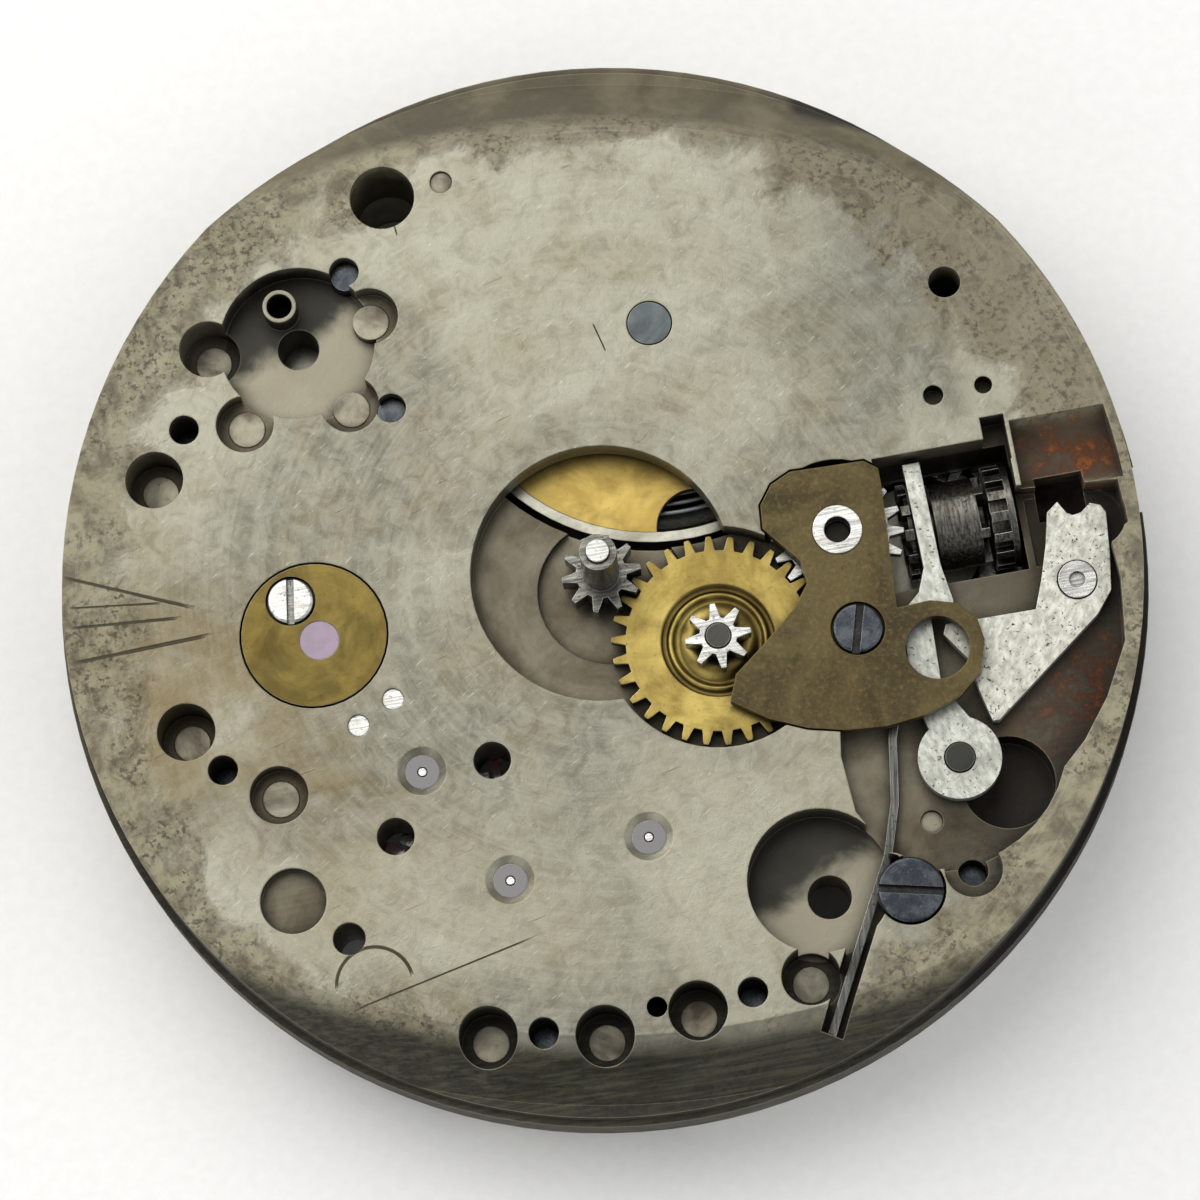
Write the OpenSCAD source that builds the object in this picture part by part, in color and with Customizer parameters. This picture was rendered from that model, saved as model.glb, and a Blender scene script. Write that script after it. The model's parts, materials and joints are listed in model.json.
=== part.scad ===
// Hand-wound watch movement, seen from under the dial, with its keyless and minute works.
// +X runs along the winding stem, +Z is the dial side, and z = 0 is the plane of the bridges' faces.
// The origin is on the centre arbor's axis.

/* [Main plate] */
// Diameter of the flange, which is the movement's size
plate_d = 27; // [26.8:0.1:28]
// Step in from the flange to the dial-side body
rim_step = 0.2; // [0.1:0.05:0.3]
// Thickness of the main plate
plate_th = 2.6; // [2.5:0.05:2.8]
// Height of the flange, from the bridge side
flange_th = 1.1; // [0.9:0.05:1.2]
// Distance from the centre to the milled crescents
crescent_edge = 11.5; // [11.4:0.05:11.8]
// Radius of the crescents' upper edge
crescent_r = 20.2; // [19.5:0.1:21]
// Depth of the crescents
crescent_depth = 1.3; // [1:0.05:1.4]
// Width of the crescents' slope, seen from above
crescent_slope = 1.5; // [1.2:0.05:1.6]
// Direction of the first crescent
crescent_turn = 80; // [75:1:85]

/* [Bridges] */
// Height of the bridges, from their face to the plate
bridge_h = 2.2; // [2.2:0.02:2.3]
// Thickness of a bridge's arm
arm_th = 0.95; // [0.9:0.01:0.96]
// Gap between the bridges' rim and the flange's rim
bridge_inset = 0.4; // [0.3:0.05:0.6]
// Slit between neighbouring bridges
bridge_gap = 0.3; // [0.2:0.05:0.4]
// Thickness of the pallet cock
pallet_cock_th = 0.45; // [0.4:0.01:0.48]
// Radius of the arm's end round a train pivot
arm_end_r = 1.25; // [1.1:0.05:1.3]

/* [Fits] */
// Radial clearance of a pivot in its hole
pivot_fit = 0.03; // [0.02:0.01:0.05]
// Clearance of a turning piece beside a wall
run_gap = 0.15; // [0.1:0.01:0.2]
// Clearance of a fixed piece in its recess
seat_gap = 0.05; // [0.03:0.01:0.08]

/* [Train] */
// Place of the barrel's axis, along X
barrel_x = 2.28; // [2.26:0.01:2.3]
// Place of the barrel's axis, along Y
barrel_y = 6.04; // [6.02:0.01:6.06]
// Place of the third wheel's axis, along X
third_x = 2.76; // [2.74:0.01:2.78]
// Place of the third wheel's axis, along Y
third_y = -3.74; // [-3.76:0.01:-3.72]
// Place of the fourth wheel's axis, along X
fourth_x = 0; // [-0.02:0.01:0.02]
// Place of the fourth wheel's axis, along Y
fourth_y = -6.7; // [-6.72:0.01:-6.68]
// Place of the escape wheel's axis, along X
escape_x = -3.5; // [-3.51:0.01:-3.49]
// Place of the escape wheel's axis, along Y
escape_y = -7.15; // [-7.16:0.01:-7.14]
// Teeth on the barrel
barrel_teeth = 80; // [80:10:80]
// Leaves on the centre, third and fourth pinions
pinion_leaves = 10; // [10:1:10]
// Teeth on the centre wheel
center_teeth = 80; // [80:10:80]
// Teeth on the third wheel
third_teeth = 75; // [75:5:75]
// Teeth on the fourth wheel
fourth_teeth = 80; // [80:10:80]
// Leaves on the escape pinion
escape_leaves = 8; // [8:1:8]
// Thickness of a train wheel
wheel_th = 0.17; // [0.14:0.01:0.19]
// Width of a wheel's rim under its teeth
wheel_rim = 0.4; // [0.3:0.05:0.5]
// Width of a wheel's arm
wheel_arm = 0.3; // [0.2:0.05:0.4]
// Radius of a wheel's middle, where its pinion is riveted
wheel_hub_r = 0.75; // [0.7:0.05:0.8]
// Radius of the train arbors
arbor_r = 0.22; // [0.18:0.01:0.24]
// Radius of the train pivots
pivot_r = 0.1; // [0.08:0.01:0.12]

/* [Barrel] */
// Outer radius of the barrel drum
drum_r = 5.33; // [5.25:0.01:5.36]
// Wall of the drum
drum_wall = 0.25; // [0.2:0.01:0.3]
// Height of the drum
drum_h = 2.3; // [2.2:0.02:2.32]
// Height of the toothed flange round the drum
barrel_tooth_h = 0.5; // [0.4:0.02:0.6]
// Thickness of the drum's floor
drum_floor = 0.3; // [0.25:0.01:0.35]
// Thickness of the barrel's cover
cover_th = 0.25; // [0.2:0.01:0.3]
// Radius of the notch in the edge of the cover
cover_notch_r = 1; // [0.8:0.05:1.1]
// Direction of the notch, at rest
cover_notch_turn = -87; // [-100:1:-80]
// Radius of the barrel arbor's ends
barrel_arbor_r = 0.54; // [0.5:0.01:0.58]
// Radius of the arbor's core, where the mainspring hooks on
arbor_core_r = 1.3; // [1.2:0.05:1.4]
// Thickness of the mainspring
spring_t = 0.14; // [0.12:0.01:0.15]
// Height of the mainspring
spring_h = 1.5; // [1.4:0.02:1.55]
// Step of the mainspring from turn to turn
spring_pitch = 0.64; // [0.62:0.01:0.66]
// Turns of the mainspring
spring_turns = 5; // [4:1:5]

/* [Escapement] */
// Radius of the escape wheel at its teeth
escape_r = 3; // [2.95:0.01:3.02]
// Teeth of the escape wheel
escape_teeth = 15; // [15:1:15]
// Thickness of the escape wheel and the fork
escape_th = 0.16; // [0.14:0.01:0.18]
// Place of the pallet fork's axis, along X
pallet_x = -5.16; // [-5.17:0.01:-5.15]
// Place of the pallet fork's axis, along Y
pallet_y = -4.11; // [-4.12:0.01:-4.1]
// Half width of the fork's lever
lever_w = 0.09; // [0.07:0.01:0.1]
// Length of a pallet stone
stone_l = 0.55; // [0.5:0.05:0.6]
// Width of a pallet stone
stone_w = 0.2; // [0.18:0.01:0.22]
// Radius of the banking pins
banking_r = 0.27; // [0.25:0.01:0.28]
// Distance of the banking pins from the lever's middle line
banking_off = 0.53; // [0.52:0.01:0.55]
// Distance of the banking pins from the fork's axis
banking_out = 1.87; // [1.8:0.01:1.95]
// Radius of the peep holes over the pallet stones
peep_r = 0.46; // [0.4:0.01:0.5]

/* [Balance] */
// Place of the balance's axis, along X
balance_x = -7.1; // [-7.11:0.01:-7.09]
// Place of the balance's axis, along Y
balance_y = -0.42; // [-0.43:0.01:-0.41]
// Outer radius of the balance rim
balance_r = 3.1; // [3:0.02:3.14]
// Width of the balance rim
rim_w = 0.42; // [0.35:0.01:0.5]
// Height of the balance rim
rim_h = 0.55; // [0.45:0.01:0.58]
// Screws round the balance rim
rim_screws = 16; // [12:2:20]
// Radius of a balance screw's head
rim_screw_r = 0.16; // [0.12:0.01:0.18]
// Height that a balance screw's head stands out
rim_screw_h = 0.2; // [0.15:0.01:0.22]
// Radius of the impulse roller
roller_r = 1.15; // [1.12:0.01:1.2]
// Distance of the impulse jewel from the balance's axis
impulse_at_r = 0.95; // [0.9:0.01:0.98]
// Radius of the impulse jewel
impulse_r = 0.12; // [0.1:0.01:0.14]
// Thickness of the hairspring
hair_t = 0.05; // [0.04:0.01:0.06]
// Height of the hairspring
hair_h = 0.14; // [0.12:0.01:0.15]
// Step of the hairspring from turn to turn
hair_pitch = 0.48; // [0.47:0.01:0.49]
// Turns of the hairspring
hair_turns = 4; // [3:1:4]

/* [Winding works] */
// Place of the crown wheel's axis, along X
crown_x = 8; // [7.99:0.01:8.01]
// Teeth of the ratchet wheel
ratchet_teeth = 50; // [50:1:50]
// Teeth of the crown wheel
crown_teeth = 30; // [30:1:30]
// Thickness of the ratchet wheel and the crown wheel
ratchet_th = 0.35; // [0.3:0.01:0.38]
// Depth of both wheels' recess below the bridge's face
ratchet_sink = 0.05; // [0.04:0.01:0.06]
// Height of the winding stem's axis
stem_z = 3; // [2.98:0.01:3.02]
// Outer radius of the winding pinion
winding_r = 1.3; // [1.26:0.01:1.32]
// Teeth of the winding pinion
winding_teeth = 15; // [15:1:15]
// Where the winding pinion starts along the stem
winding_from = 9.72; // [9.7:0.01:9.74]
// Length of the winding pinion
winding_l = 0.6; // [0.55:0.01:0.62]
// Radius of the stem's bore in the plate
stem_bore_r = 0.65; // [0.6:0.01:0.68]
// Radius of the stem's hole in the winding pinion and the clutch
stem_hole_r = 0.42; // [0.38:0.01:0.45]
// Outer radius of the clutch's setting teeth
clutch_r = 1.25; // [1.22:0.01:1.28]
// Radius of the clutch's body
clutch_body_r = 1.1; // [1.05:0.01:1.15]
// Radius of the clutch's groove
clutch_groove_r = 0.62; // [0.6:0.01:0.65]
// Setting teeth round the clutch
clutch_teeth = 12; // [12:1:12]
// Length of the setting teeth, before the flange
clutch_tooth_l = 0.12; // [0.1:0.01:0.13]
// Length of the flange beside the groove
clutch_flange_l = 0.1; // [0.08:0.01:0.11]
// Where the clutch starts along the stem
clutch_from = 7.56; // [7.56:0.01:7.58]
// Length of the clutch
clutch_l = 2.08; // [2.05:0.01:2.1]
// Width of the clutch's groove
groove_w = 0.56; // [0.54:0.01:0.58]
// Travel of the clutch between winding and setting
clutch_travel = 0.25; // [0.2:0.01:0.25]

/* [Minute works] */
// Leaves of the cannon pinion
cannon_leaves = 10; // [10:1:10]
// Teeth of the minute wheel
minute_teeth = 30; // [30:1:30]
// Leaves of the minute pinion
minute_leaves = 8; // [8:1:8]
// Teeth of the setting wheel
setting_teeth = 18; // [18:1:18]
// Module of the minute works
minute_module = 0.165; // [0.164:0.001:0.166]
// Place of the setting wheel's axis, along X
setting_x = 5.9; // [5.89:0.01:5.91]
// Thickness of the minute wheel and the setting wheel
minute_th = 0.3; // [0.25:0.01:0.32]
// Height of the cannon pinion's pipe above the plate
pipe_h = 2.3; // [1.8:0.05:2.6]
// Radius of the cannon pinion's pipe
pipe_r = 0.45; // [0.42:0.01:0.48]
// Radius of the centre arbor inside the pipe
center_arbor_r = 0.28; // [0.24:0.01:0.3]
// Radius of the recess round the cannon pinion
center_recess_r = 3.22; // [3.15:0.01:3.25]
// Depth of the recess round the cannon pinion
center_recess = 0.85; // [0.82:0.01:0.88]
// Radius of the posts that the minute and setting wheels turn on
post_r = 0.3; // [0.25:0.01:0.3]

/* [Keyless works] */
// Thickness of the cover plate
cover_plate_th = 0.35; // [0.3:0.01:0.36]
// Thickness of the setting lever
lever_th = 0.4; // [0.35:0.01:0.42]
// Place of the setting lever's screw, along X
lever_x = 11.48; // [11.46:0.01:11.5]
// Place of the setting lever's screw, along Y
lever_y = -2.2; // [-2.22:0.01:-2.18]
// Place of the yoke's pivot, along X
yoke_x = 7.82; // [7.8:0.01:7.84]
// Place of the yoke's pivot, along Y
yoke_y = -6.04; // [-6.06:0.01:-6.02]
// Radius of the yoke's eye
yoke_eye_r = 1.03; // [0.95:0.01:1.05]
// Thickness of the yoke
yoke_th = 0.35; // [0.3:0.01:0.36]
// Width of the yoke's arm
yoke_arm_w = 0.42; // [0.4:0.01:0.44]
// Width of the yoke spring's wire
wire_w = 0.2; // [0.16:0.01:0.22]
// Place of the yoke spring's screw, along X
wire_screw_x = 6.01; // [5.99:0.01:6.03]
// Place of the yoke spring's screw, along Y
wire_screw_y = -9.14; // [-9.16:0.01:-9.12]
// Radius of the yoke spring's screw head
wire_screw_r = 0.81; // [0.75:0.01:0.83]
// Place of the cover plate's screw, along X
cover_screw_x = 5.94; // [5.92:0.01:5.96]
// Place of the cover plate's screw, along Y
cover_screw_y = -2.53; // [-2.55:0.01:-2.51]
// Radius of the cover plate's screw head
cover_screw_r = 0.62; // [0.58:0.01:0.64]
// Depth of the keyless recess
keyless_depth = 0.95; // [0.92:0.01:0.98]

/* [Balance cap] */
// Place of the cap plate's middle, along X
cap_x = -7.21; // [-7.23:0.01:-7.19]
// Place of the cap plate's middle, along Y
cap_y = -0.27; // [-0.29:0.01:-0.25]
// Radius of the cap plate
cap_r = 1.79; // [1.75:0.01:1.82]
// Thickness of the cap plate
cap_th = 0.4; // [0.35:0.01:0.45]
// Place of the cap plate's screw, along X
cap_screw_x = -7.64; // [-7.66:0.01:-7.62]
// Place of the cap plate's screw, along Y
cap_screw_y = 0.68; // [0.66:0.01:0.7]
// Radius of the cap plate's screw head
cap_screw_r = 0.57; // [0.52:0.01:0.58]
// Radius of the cap jewel
cap_jewel_r = 0.49; // [0.45:0.01:0.5]

/* [Fixings] */
// Radius of a train jewel
jewel_r = 0.42; // [0.4:0.01:0.45]
// Thickness of a train jewel
jewel_th = 0.35; // [0.3:0.01:0.38]
// Depth of a jewel below the plate's face
jewel_sink = 0.12; // [0.1:0.01:0.15]
// Radius of a bridge screw's thread
screw_r = 0.36; // [0.32:0.01:0.38]
// Radius of a bridge screw's head
screw_head_r = 0.72; // [0.65:0.01:0.75]
// Height of a bridge screw's head
screw_head_h = 0.42; // [0.38:0.01:0.45]
// Width of a screw's slot
slot_w = 0.16; // [0.12:0.01:0.18]
// Depth of a screw's slot
slot_d = 0.18; // [0.15:0.01:0.2]
// Radius of a steady pin
steady_r = 0.45; // [0.4:0.01:0.47]
// Radius of the counterbore over a steady pin
steady_cb_r = 0.72; // [0.68:0.01:0.75]
// Depth of the counterbore over a steady pin
steady_cb = 0.6; // [0.5:0.05:0.7]
// Radius of the dial feet's holes
dial_foot_r = 0.4; // [0.36:0.01:0.42]

/* [Hidden] */
$fn = 64;
eps = 0.01;

// Places on the plate
barrel_at = [barrel_x, barrel_y];
third_at = [third_x, third_y];
fourth_at = [fourth_x, fourth_y];
escape_at = [escape_x, escape_y];
pallet_at = [pallet_x, pallet_y];
balance_at = [balance_x, balance_y];
crown_at = [crown_x, 0];
setting_at = [setting_x, 0];
lever_at = [lever_x, lever_y];
yoke_at = [yoke_x, yoke_y];
wire_screw_at = [wire_screw_x, wire_screw_y];
cover_screw_at = [cover_screw_x, cover_screw_y];
cap_at = [cap_x, cap_y];
cap_screw_at = [cap_screw_x, cap_screw_y];

// Heights
face_z = bridge_h + plate_th;
keyless_z = face_z - keyless_depth;
center_floor_z = face_z - center_recess;
crescent_z = face_z - crescent_depth;
body_r = plate_d / 2 - rim_step;
bridge_r = plate_d / 2 - bridge_inset;
drum_z = 1.4;
drum_top = drum_z + drum_h;
center_z = arm_th + 0.1;
fourth_z = center_z + 0.42;
third_z = fourth_z + 0.51;
third_leaves_z = center_z - 0.05;
escape_z = bridge_h + 0.24;
escape_pocket_z = escape_z + escape_th + 0.12;
balance_z = arm_th + 0.57;
hair_z = arm_th + 0.2;
balance_pocket_z = bridge_h + 0.13;
roller_z = balance_z + rim_h + 0.04;
minute_z = center_floor_z + 0.06;
setting_z = minute_z + 0.02;
cover_z = face_z - cover_plate_th;
lever_z = keyless_z + 0.06;
yoke_z = keyless_z + 0.05;

// Gears: module from the centre distance, so that each pair meets at its pitch circles
function dist(a, b) = norm(b - a);
function turn_to(a, b) = atan2(b[1] - a[1], b[0] - a[0]);
barrel_module = 2 * dist(barrel_at, [0, 0]) / (barrel_teeth + pinion_leaves);
center_module = 2 * dist([0, 0], third_at) / (center_teeth + pinion_leaves);
third_module = 2 * dist(third_at, fourth_at) / (third_teeth + pinion_leaves);
fourth_module = 2 * dist(fourth_at, escape_at) / (fourth_teeth + escape_leaves);
ratchet_module = 2 * dist(barrel_at, crown_at) / (ratchet_teeth + crown_teeth);
minute_pitch_r = minute_module * minute_teeth / 2;

// The minute wheel's axis meets both the cannon pinion and the setting wheel
cannon_reach = minute_module * (cannon_leaves + minute_teeth) / 2;
setting_reach = minute_module * (setting_teeth + minute_teeth) / 2;
setting_dist = norm(setting_at);
minute_x = (cannon_reach ^ 2 - setting_reach ^ 2 + setting_dist ^ 2) / (2 * setting_dist);
minute_at = [minute_x, -sqrt(cannon_reach ^ 2 - minute_x ^ 2)];
minute_recess_r = minute_pitch_r + minute_module + 0.14;

// Turn that lets gear B mesh with gear A, which stands at turn phase_a
function mesh(na, nb, theta, phase_a) = theta + 180 + 180 / nb + na / nb * (theta - phase_a);
center_pinion_phase = 0;
barrel_phase = mesh(pinion_leaves, barrel_teeth, turn_to([0, 0], barrel_at), center_pinion_phase);
center_phase = 0;
third_pinion_phase = mesh(center_teeth, pinion_leaves, turn_to([0, 0], third_at), center_phase);
third_phase = 0;
fourth_pinion_phase = mesh(third_teeth, pinion_leaves, turn_to(third_at, fourth_at), third_phase);
fourth_phase = 0;
escape_pinion_phase = mesh(fourth_teeth, escape_leaves, turn_to(fourth_at, escape_at), fourth_phase);
cannon_phase = 0;
minute_phase = mesh(cannon_leaves, minute_teeth, turn_to([0, 0], minute_at), cannon_phase);
setting_phase = mesh(minute_teeth, setting_teeth, turn_to(minute_at, setting_at), minute_phase);
ratchet_phase = 0;
crown_phase = mesh(ratchet_teeth, crown_teeth, turn_to(barrel_at, crown_at), ratchet_phase);

// Escapement: stones 30 degrees each side of the line from the escape wheel to the fork
pallet_half = 30;
pallet_turn = turn_to(escape_at, pallet_at);
lever_turn_at_rest = turn_to(pallet_at, balance_at);
lever_reach = dist(pallet_at, balance_at);
function around(c, r, a) = [c[0] + r * cos(a), c[1] + r * sin(a)];
stone_at = [for (s = [-1, 1]) around(escape_at, escape_r, pallet_turn + s * pallet_half)];
banking_at = [for (s = [-1, 1]) around(pallet_at, norm([banking_out, banking_off]),
              lever_turn_at_rest + s * atan2(banking_off, banking_out))];

// Bridge feet, each a screw between its steady pins, placed in from the flange's rim
function from_rim(back, turn) = around([0, 0], plate_d / 2 - back, turn);
foot_depth = 3.65;
rim_from = plate_d / 2 - 3.1;
foot_in = foot_depth - plate_d / 2;
hollow_at = from_rim(2.389, 109.56);
hollow_r = 0.81;
sink_at = from_rim(2.45, -142.61);
locating_pit_at = [from_rim(4.178, 18.32), from_rim(2.966, 16.32)];
blind_at = from_rim(2.637, -92.85);
balance_foot_pins = [from_rim(2.606, -168.89), [-8.7, -4.06]];
balance_foot_screw = from_rim(3.048, -162.17);
escape_foot_pins = [from_rim(1.73, -113.43), from_rim(2.063, -99.51)];
escape_foot_screw = from_rim(2.033, -106.93);
fourth_foot_pins = [from_rim(2.392, -87.83), from_rim(2.25, -73.21)];
fourth_foot_screw = from_rim(2.443, -80.63);
barrel_bridge_pins = [from_rim(2.132, 139.39), [-4.54, 7.5], [-8.03, 5.33], [-5.38, 5.36],
                      from_rim(2.17, 157.53)];
barrel_bridge_screws = [from_rim(2.508, 150.22), [-4.97, 8.74], [-4.39, 5.07], from_rim(1.804, -49.47)];
small_pins = [from_rim(2.674, 101.73), [6.87, -7.41]];
steady_at = concat(balance_foot_pins, escape_foot_pins, fourth_foot_pins, barrel_bridge_pins);
screws_at = concat([balance_foot_screw, escape_foot_screw, fourth_foot_screw], barrel_bridge_screws);
pallet_screws_at = [[-7.55, -4.9], [-3.4, -2.3]];
pallet_screw_r = 0.2;
pallet_screw_head_r = 0.38;
pallet_screw_head_h = 0.2;
small_pin_r = 0.28;
dial_feet_at = [from_rim(2.566, -133.96), from_rim(2.268, 30.68)];

// Keyless outlines, seen from the dial side
cover_outline = [[4.1, 0.35], [4.15, 0.95], [4.5, 1.42], [5.02, 1.66], [6.85, 1.6], [7.17, 1.35],
        [7.17, 0.93],
                 [7.08, -0.5], [6.97, -2.2], [7.8, -2.16], [8.45, -2.35], [8.85, -2.8], [8.93, -3.35],
                 [8.7, -4.1], [8.1, -4.65], [7.2, -4.95], [6.2, -5.06], [5.2, -4.98], [4.3, -4.76],
                 [3.4, -4.36], [2.55, -3.75], [2.8, -3.12], [3.55, -2.55], [4.5, -1.75], [4.92, -1.2],
                 [4.86, -0.6], [4.46, -0.1]];
cover_hole_at = [7.77, -3.35];
cover_hole_r = 0.79;
lever_outline = [[11.37, -0.18], [11.55, -0.5], [11.69, -0.58], [11.9, -0.55], [12.16, -0.35], [12.4, -0.45],
                 [12.5, -0.65], [12.4, -1.68], [12.25, -2.6], [11.81, -3.14], [8.95, -5.3], [8.78, -5.3],
                 [8.6, -4.5], [8.5, -3.7], [8.0, -2.95], [8.1, -2.72], [10.34, -2.75], [10.62, -2.03],
                 [10.9, -1.16], [11.08, -0.4]];
yoke_outline = [[7.2, -5.2], [7.0, -4.2], [7.05, -2.9], [7.25, -2.1], [7.6, -1.8], [7.84, -1.2],
                [7.8, 1.45], [7.8 + yoke_arm_w, 1.45], [7.84 + yoke_arm_w, -1.2], [8.4, -2.15], [8.35, -2.3],
                [7.78, -2.4], [7.72, -4.2], [8.3, -5.2]];
wire_route = [[3.5, -12.2], [5.03, -9.27], [5.64, -8.13], [6.06, -6.82], [6.3, -5.24], [6.85, -3.6]];
ratchet_seat = 0.2;
ratchet_screw_r = 1.2;
ratchet_thread_r = 0.25;
click_at = around(barrel_at, 6.2, 235);
click_eye_r = 0.6;
click_pin_r = 0.28;
click_post_at = [-3.5, 3.1];
click_post_r = 0.32;
click_spring_w = 0.14;
click_spring_tip = around(click_at, click_eye_r + 0.12, 145);
stud_turn = 226;
stud_r = 0.18;
hair_r0 = 0.5;
hair_end_r = hair_r0 + hair_pitch * hair_turns;
stud_at = around(balance_at, hair_end_r + hair_t + stud_r, stud_turn);
collet_r = 0.5;
staff_r = 0.24;
regulator_turn = 100;
crown_mesh = 0.4;
crown_ring_r = winding_from + crown_mesh - crown_at[0];
crown_ring_teeth = 24;
crown_notch_w = 0.27;
crown_notch_d = 0.25;
winding_slot_w = 0.31;
winding_slot_d = 0.26;
crown_ring_w = 0.4;
crown_boss_r = 0.9;
crown_screw_r = 1.2;
crown_screw_h = 0.15;
click_th = 0.3;
click_head_r = 0.42;
lever_screw_r = 0.47;
crown_ring_top = stem_z - winding_r + 0.2;
third_jewel_z = center_floor_z - 0.1 - jewel_th;
plate_jewel_z = face_z - jewel_sink - jewel_th;
bridge_jewel_z = 0.25;

// Shapes used by many pieces
module rod(p, r, z0, z1) translate([p[0], p[1], z0]) cylinder(r = r, h = z1 - z0);
module ring(p, ro, ri, z0, z1) {
    difference() {
        rod(p, ro, z0, z1);
        rod(p, ri, z0 - eps, z1 + eps);
    }
}
module slab(points, z0, z1) translate([0, 0, z0]) linear_extrude(z1 - z0) polygon(points);
module bar(a, b, w, z0, z1) {
    translate([a[0], a[1], z0]) rotate([0, 0, turn_to(a, b)]) translate([0, -w / 2, 0])
        cube([dist(a, b), w, z1 - z0]);
}
module along_x(r, x0, x1) translate([x0, 0, stem_z]) rotate([0, 90, 0]) cylinder(r = r, h = x1 - x0);
module slotted(p, r, z0, z1, turn) {
    difference() {
        rod(p, r, z0, z1);
        translate([p[0], p[1], z1 - slot_d]) rotate([0, 0, turn])
            translate([-r - 1, -slot_w / 2, 0]) cube([2 * r + 2, slot_w, 1]);
    }
}
// A screw from the dial side: slotted head, then its thread down to z0
module dial_screw(p, head_r, head_z, thread_r, z0, z1, turn) {
    slotted(p, head_r, head_z, z1, turn);
    rod(p, thread_r, z0, head_z + eps);
}
// A screw from the bridge side, with the slot in its face
module bridge_screw(p, head_r, head_h, thread_r, z0, z1, turn) {
    difference() {
        rod(p, head_r, z0, z0 + head_h);
        translate([p[0], p[1], z0 - 1 + slot_d]) rotate([0, 0, turn])
            translate([-head_r - 1, -slot_w / 2, 0]) cube([2 * head_r + 2, slot_w, 1]);
    }
    rod(p, thread_r, z0 + head_h - eps, z1);
}

// Outline of a closed polygon, drawn again at distance d outside it (points run clockwise)
function unit(v) = v / norm(v);
function left_of(v) = [-v[1], v[0]];
function grown(points, d) = let (n = len(points)) [for (i = [0 : n - 1])
    let (a = unit(points[i] - points[(i + n - 1) % n]), b = unit(points[(i + 1) % n] - points[i]))
    points[i] + d * (left_of(a) + left_of(b)) / (1 + a * b)];

// Gear outline: trapezoid teeth, thin enough to run free
root_depth = 1.2;
tip_height = 0.95;
function gear_tooth(r, w, a) = [for (s = [-1, 1]) a + s * w / r * 180 / PI];
function gear_points(n, m, phase) = let (r0 = m * (n / 2 - root_depth), r1 = m * (n / 2 + tip_height))
    [for (i = [0 : n - 1]) let (c = phase + 360 / n * i, root = gear_tooth(r0, 0.27 * PI * m, c),
     tip = gear_tooth(r1, 0.12 * PI * m, c))
     each [around([0, 0], r0, root[0]), around([0, 0], r1, tip[0]),
           around([0, 0], r1, tip[1]), around([0, 0], r0, root[1])]];
module gear(p, n, m, phase, z0, z1) {
    translate([p[0], p[1], z0]) linear_extrude(z1 - z0) polygon(gear_points(n, m, phase));
}
function tip_r(n, m) = m * (n / 2 + tip_height);

// A spoked wheel: its windows leave a rim, a hub and the arms
module spoked(p, n, m, phase, z0, th, arms, hub_r, hole_r) {
    inner = m * (n / 2 - root_depth) - wheel_rim;
    difference() {
        gear(p, n, m, phase, z0, z0 + th);
        rod(p, hole_r, z0 - eps, z0 + th + eps);
        difference() {
            ring(p, inner, hub_r, z0 - eps, z0 + th + eps);
            for (k = [0 : arms - 1])
                bar(p, around(p, inner + 1, phase + 45 + 360 / arms * k), wheel_arm, z0 - 1, z0 + th + 1);
        }
    }
}

// Main plate: a flanged disc, with its recesses on both sides
function arc_points(c, r, a0, a1, n) = [for (i = [0 : n]) around(c, r, a0 + (a1 - a0) * i / n)];
keyless_floor = concat([[10.4, 0.3], [12.9, 0.0], [12.95, -1.1], [12.45, -1.35], [12.5, -2.4], [12.3, -4.0],
    [11.6, -5.3], [10.85, -6.27]], arc_points([7.25, -5.55], 3.25, -23, -98, 8),
    [[5.6, -8.05], [5.05, -7.0], [4.95, -5.6], [5.1, -4.6], [6.9, -2.0], [6.9, 0.3]]);
module crescent() {
    far = crescent_r - crescent_edge;
    difference() {
        rod([0, 0], plate_d / 2 + 1, crescent_z, face_z + 1);
        translate([-far, 0, crescent_z - eps])
            cylinder(r1 = crescent_r + crescent_slope, r2 = crescent_r - crescent_slope * 0.1,
                     h = crescent_depth * 1.1, $fn = 128);
    }
}
module plate_blank() {
    difference() {
        union() {
            rod([0, 0], plate_d / 2, bridge_h, bridge_h + flange_th, $fn = 128);
            rod([0, 0], body_r, bridge_h, face_z, $fn = 128);
        }
        for (a = [0, 180])
            rotate([0, 0, crescent_turn + a]) crescent();
    }
}
channel_x = [clutch_from - clutch_travel - 0.26, 10.42];
channel_y = [-1.62, 1.6];
module channel(z0, z1) {
    translate([channel_x[0], channel_y[0], z0])
        cube([channel_x[1] - channel_x[0], channel_y[1] - channel_y[0], z1 - z0]);
}
pocket_at = [-6.42, 7.15];
pocket_r = 1.94;
pocket_depth = 0.9;
pocket_hole_at = [-6.45, 7.22];
collar_at = [-6.71, 8.21];
collar_hole_r = 0.32;
low_pocket_at = [3.89, -8.51];
low_pocket_r = 1.77;
low_pocket_depth = 1.1;
low_pocket_hole_at = [4.08, -8.78];
lever_pocket_at = [8.9, -6.79];
trough_from = 10.55;
trough_y = 1;
trough_r = 1.02;
trough_depth = 0.66;
peg_at = [11.65, -0.85];
peg_r = 0.22;
peg_floor_z = stem_z + stem_bore_r + 0.1;
well_at = [12.1, -0.75];
well_r = 0.85;
well_from = 10.6;
peg_slot_at = [10.9, -0.5];
peg_slot_size = [1.2, 1];
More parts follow.
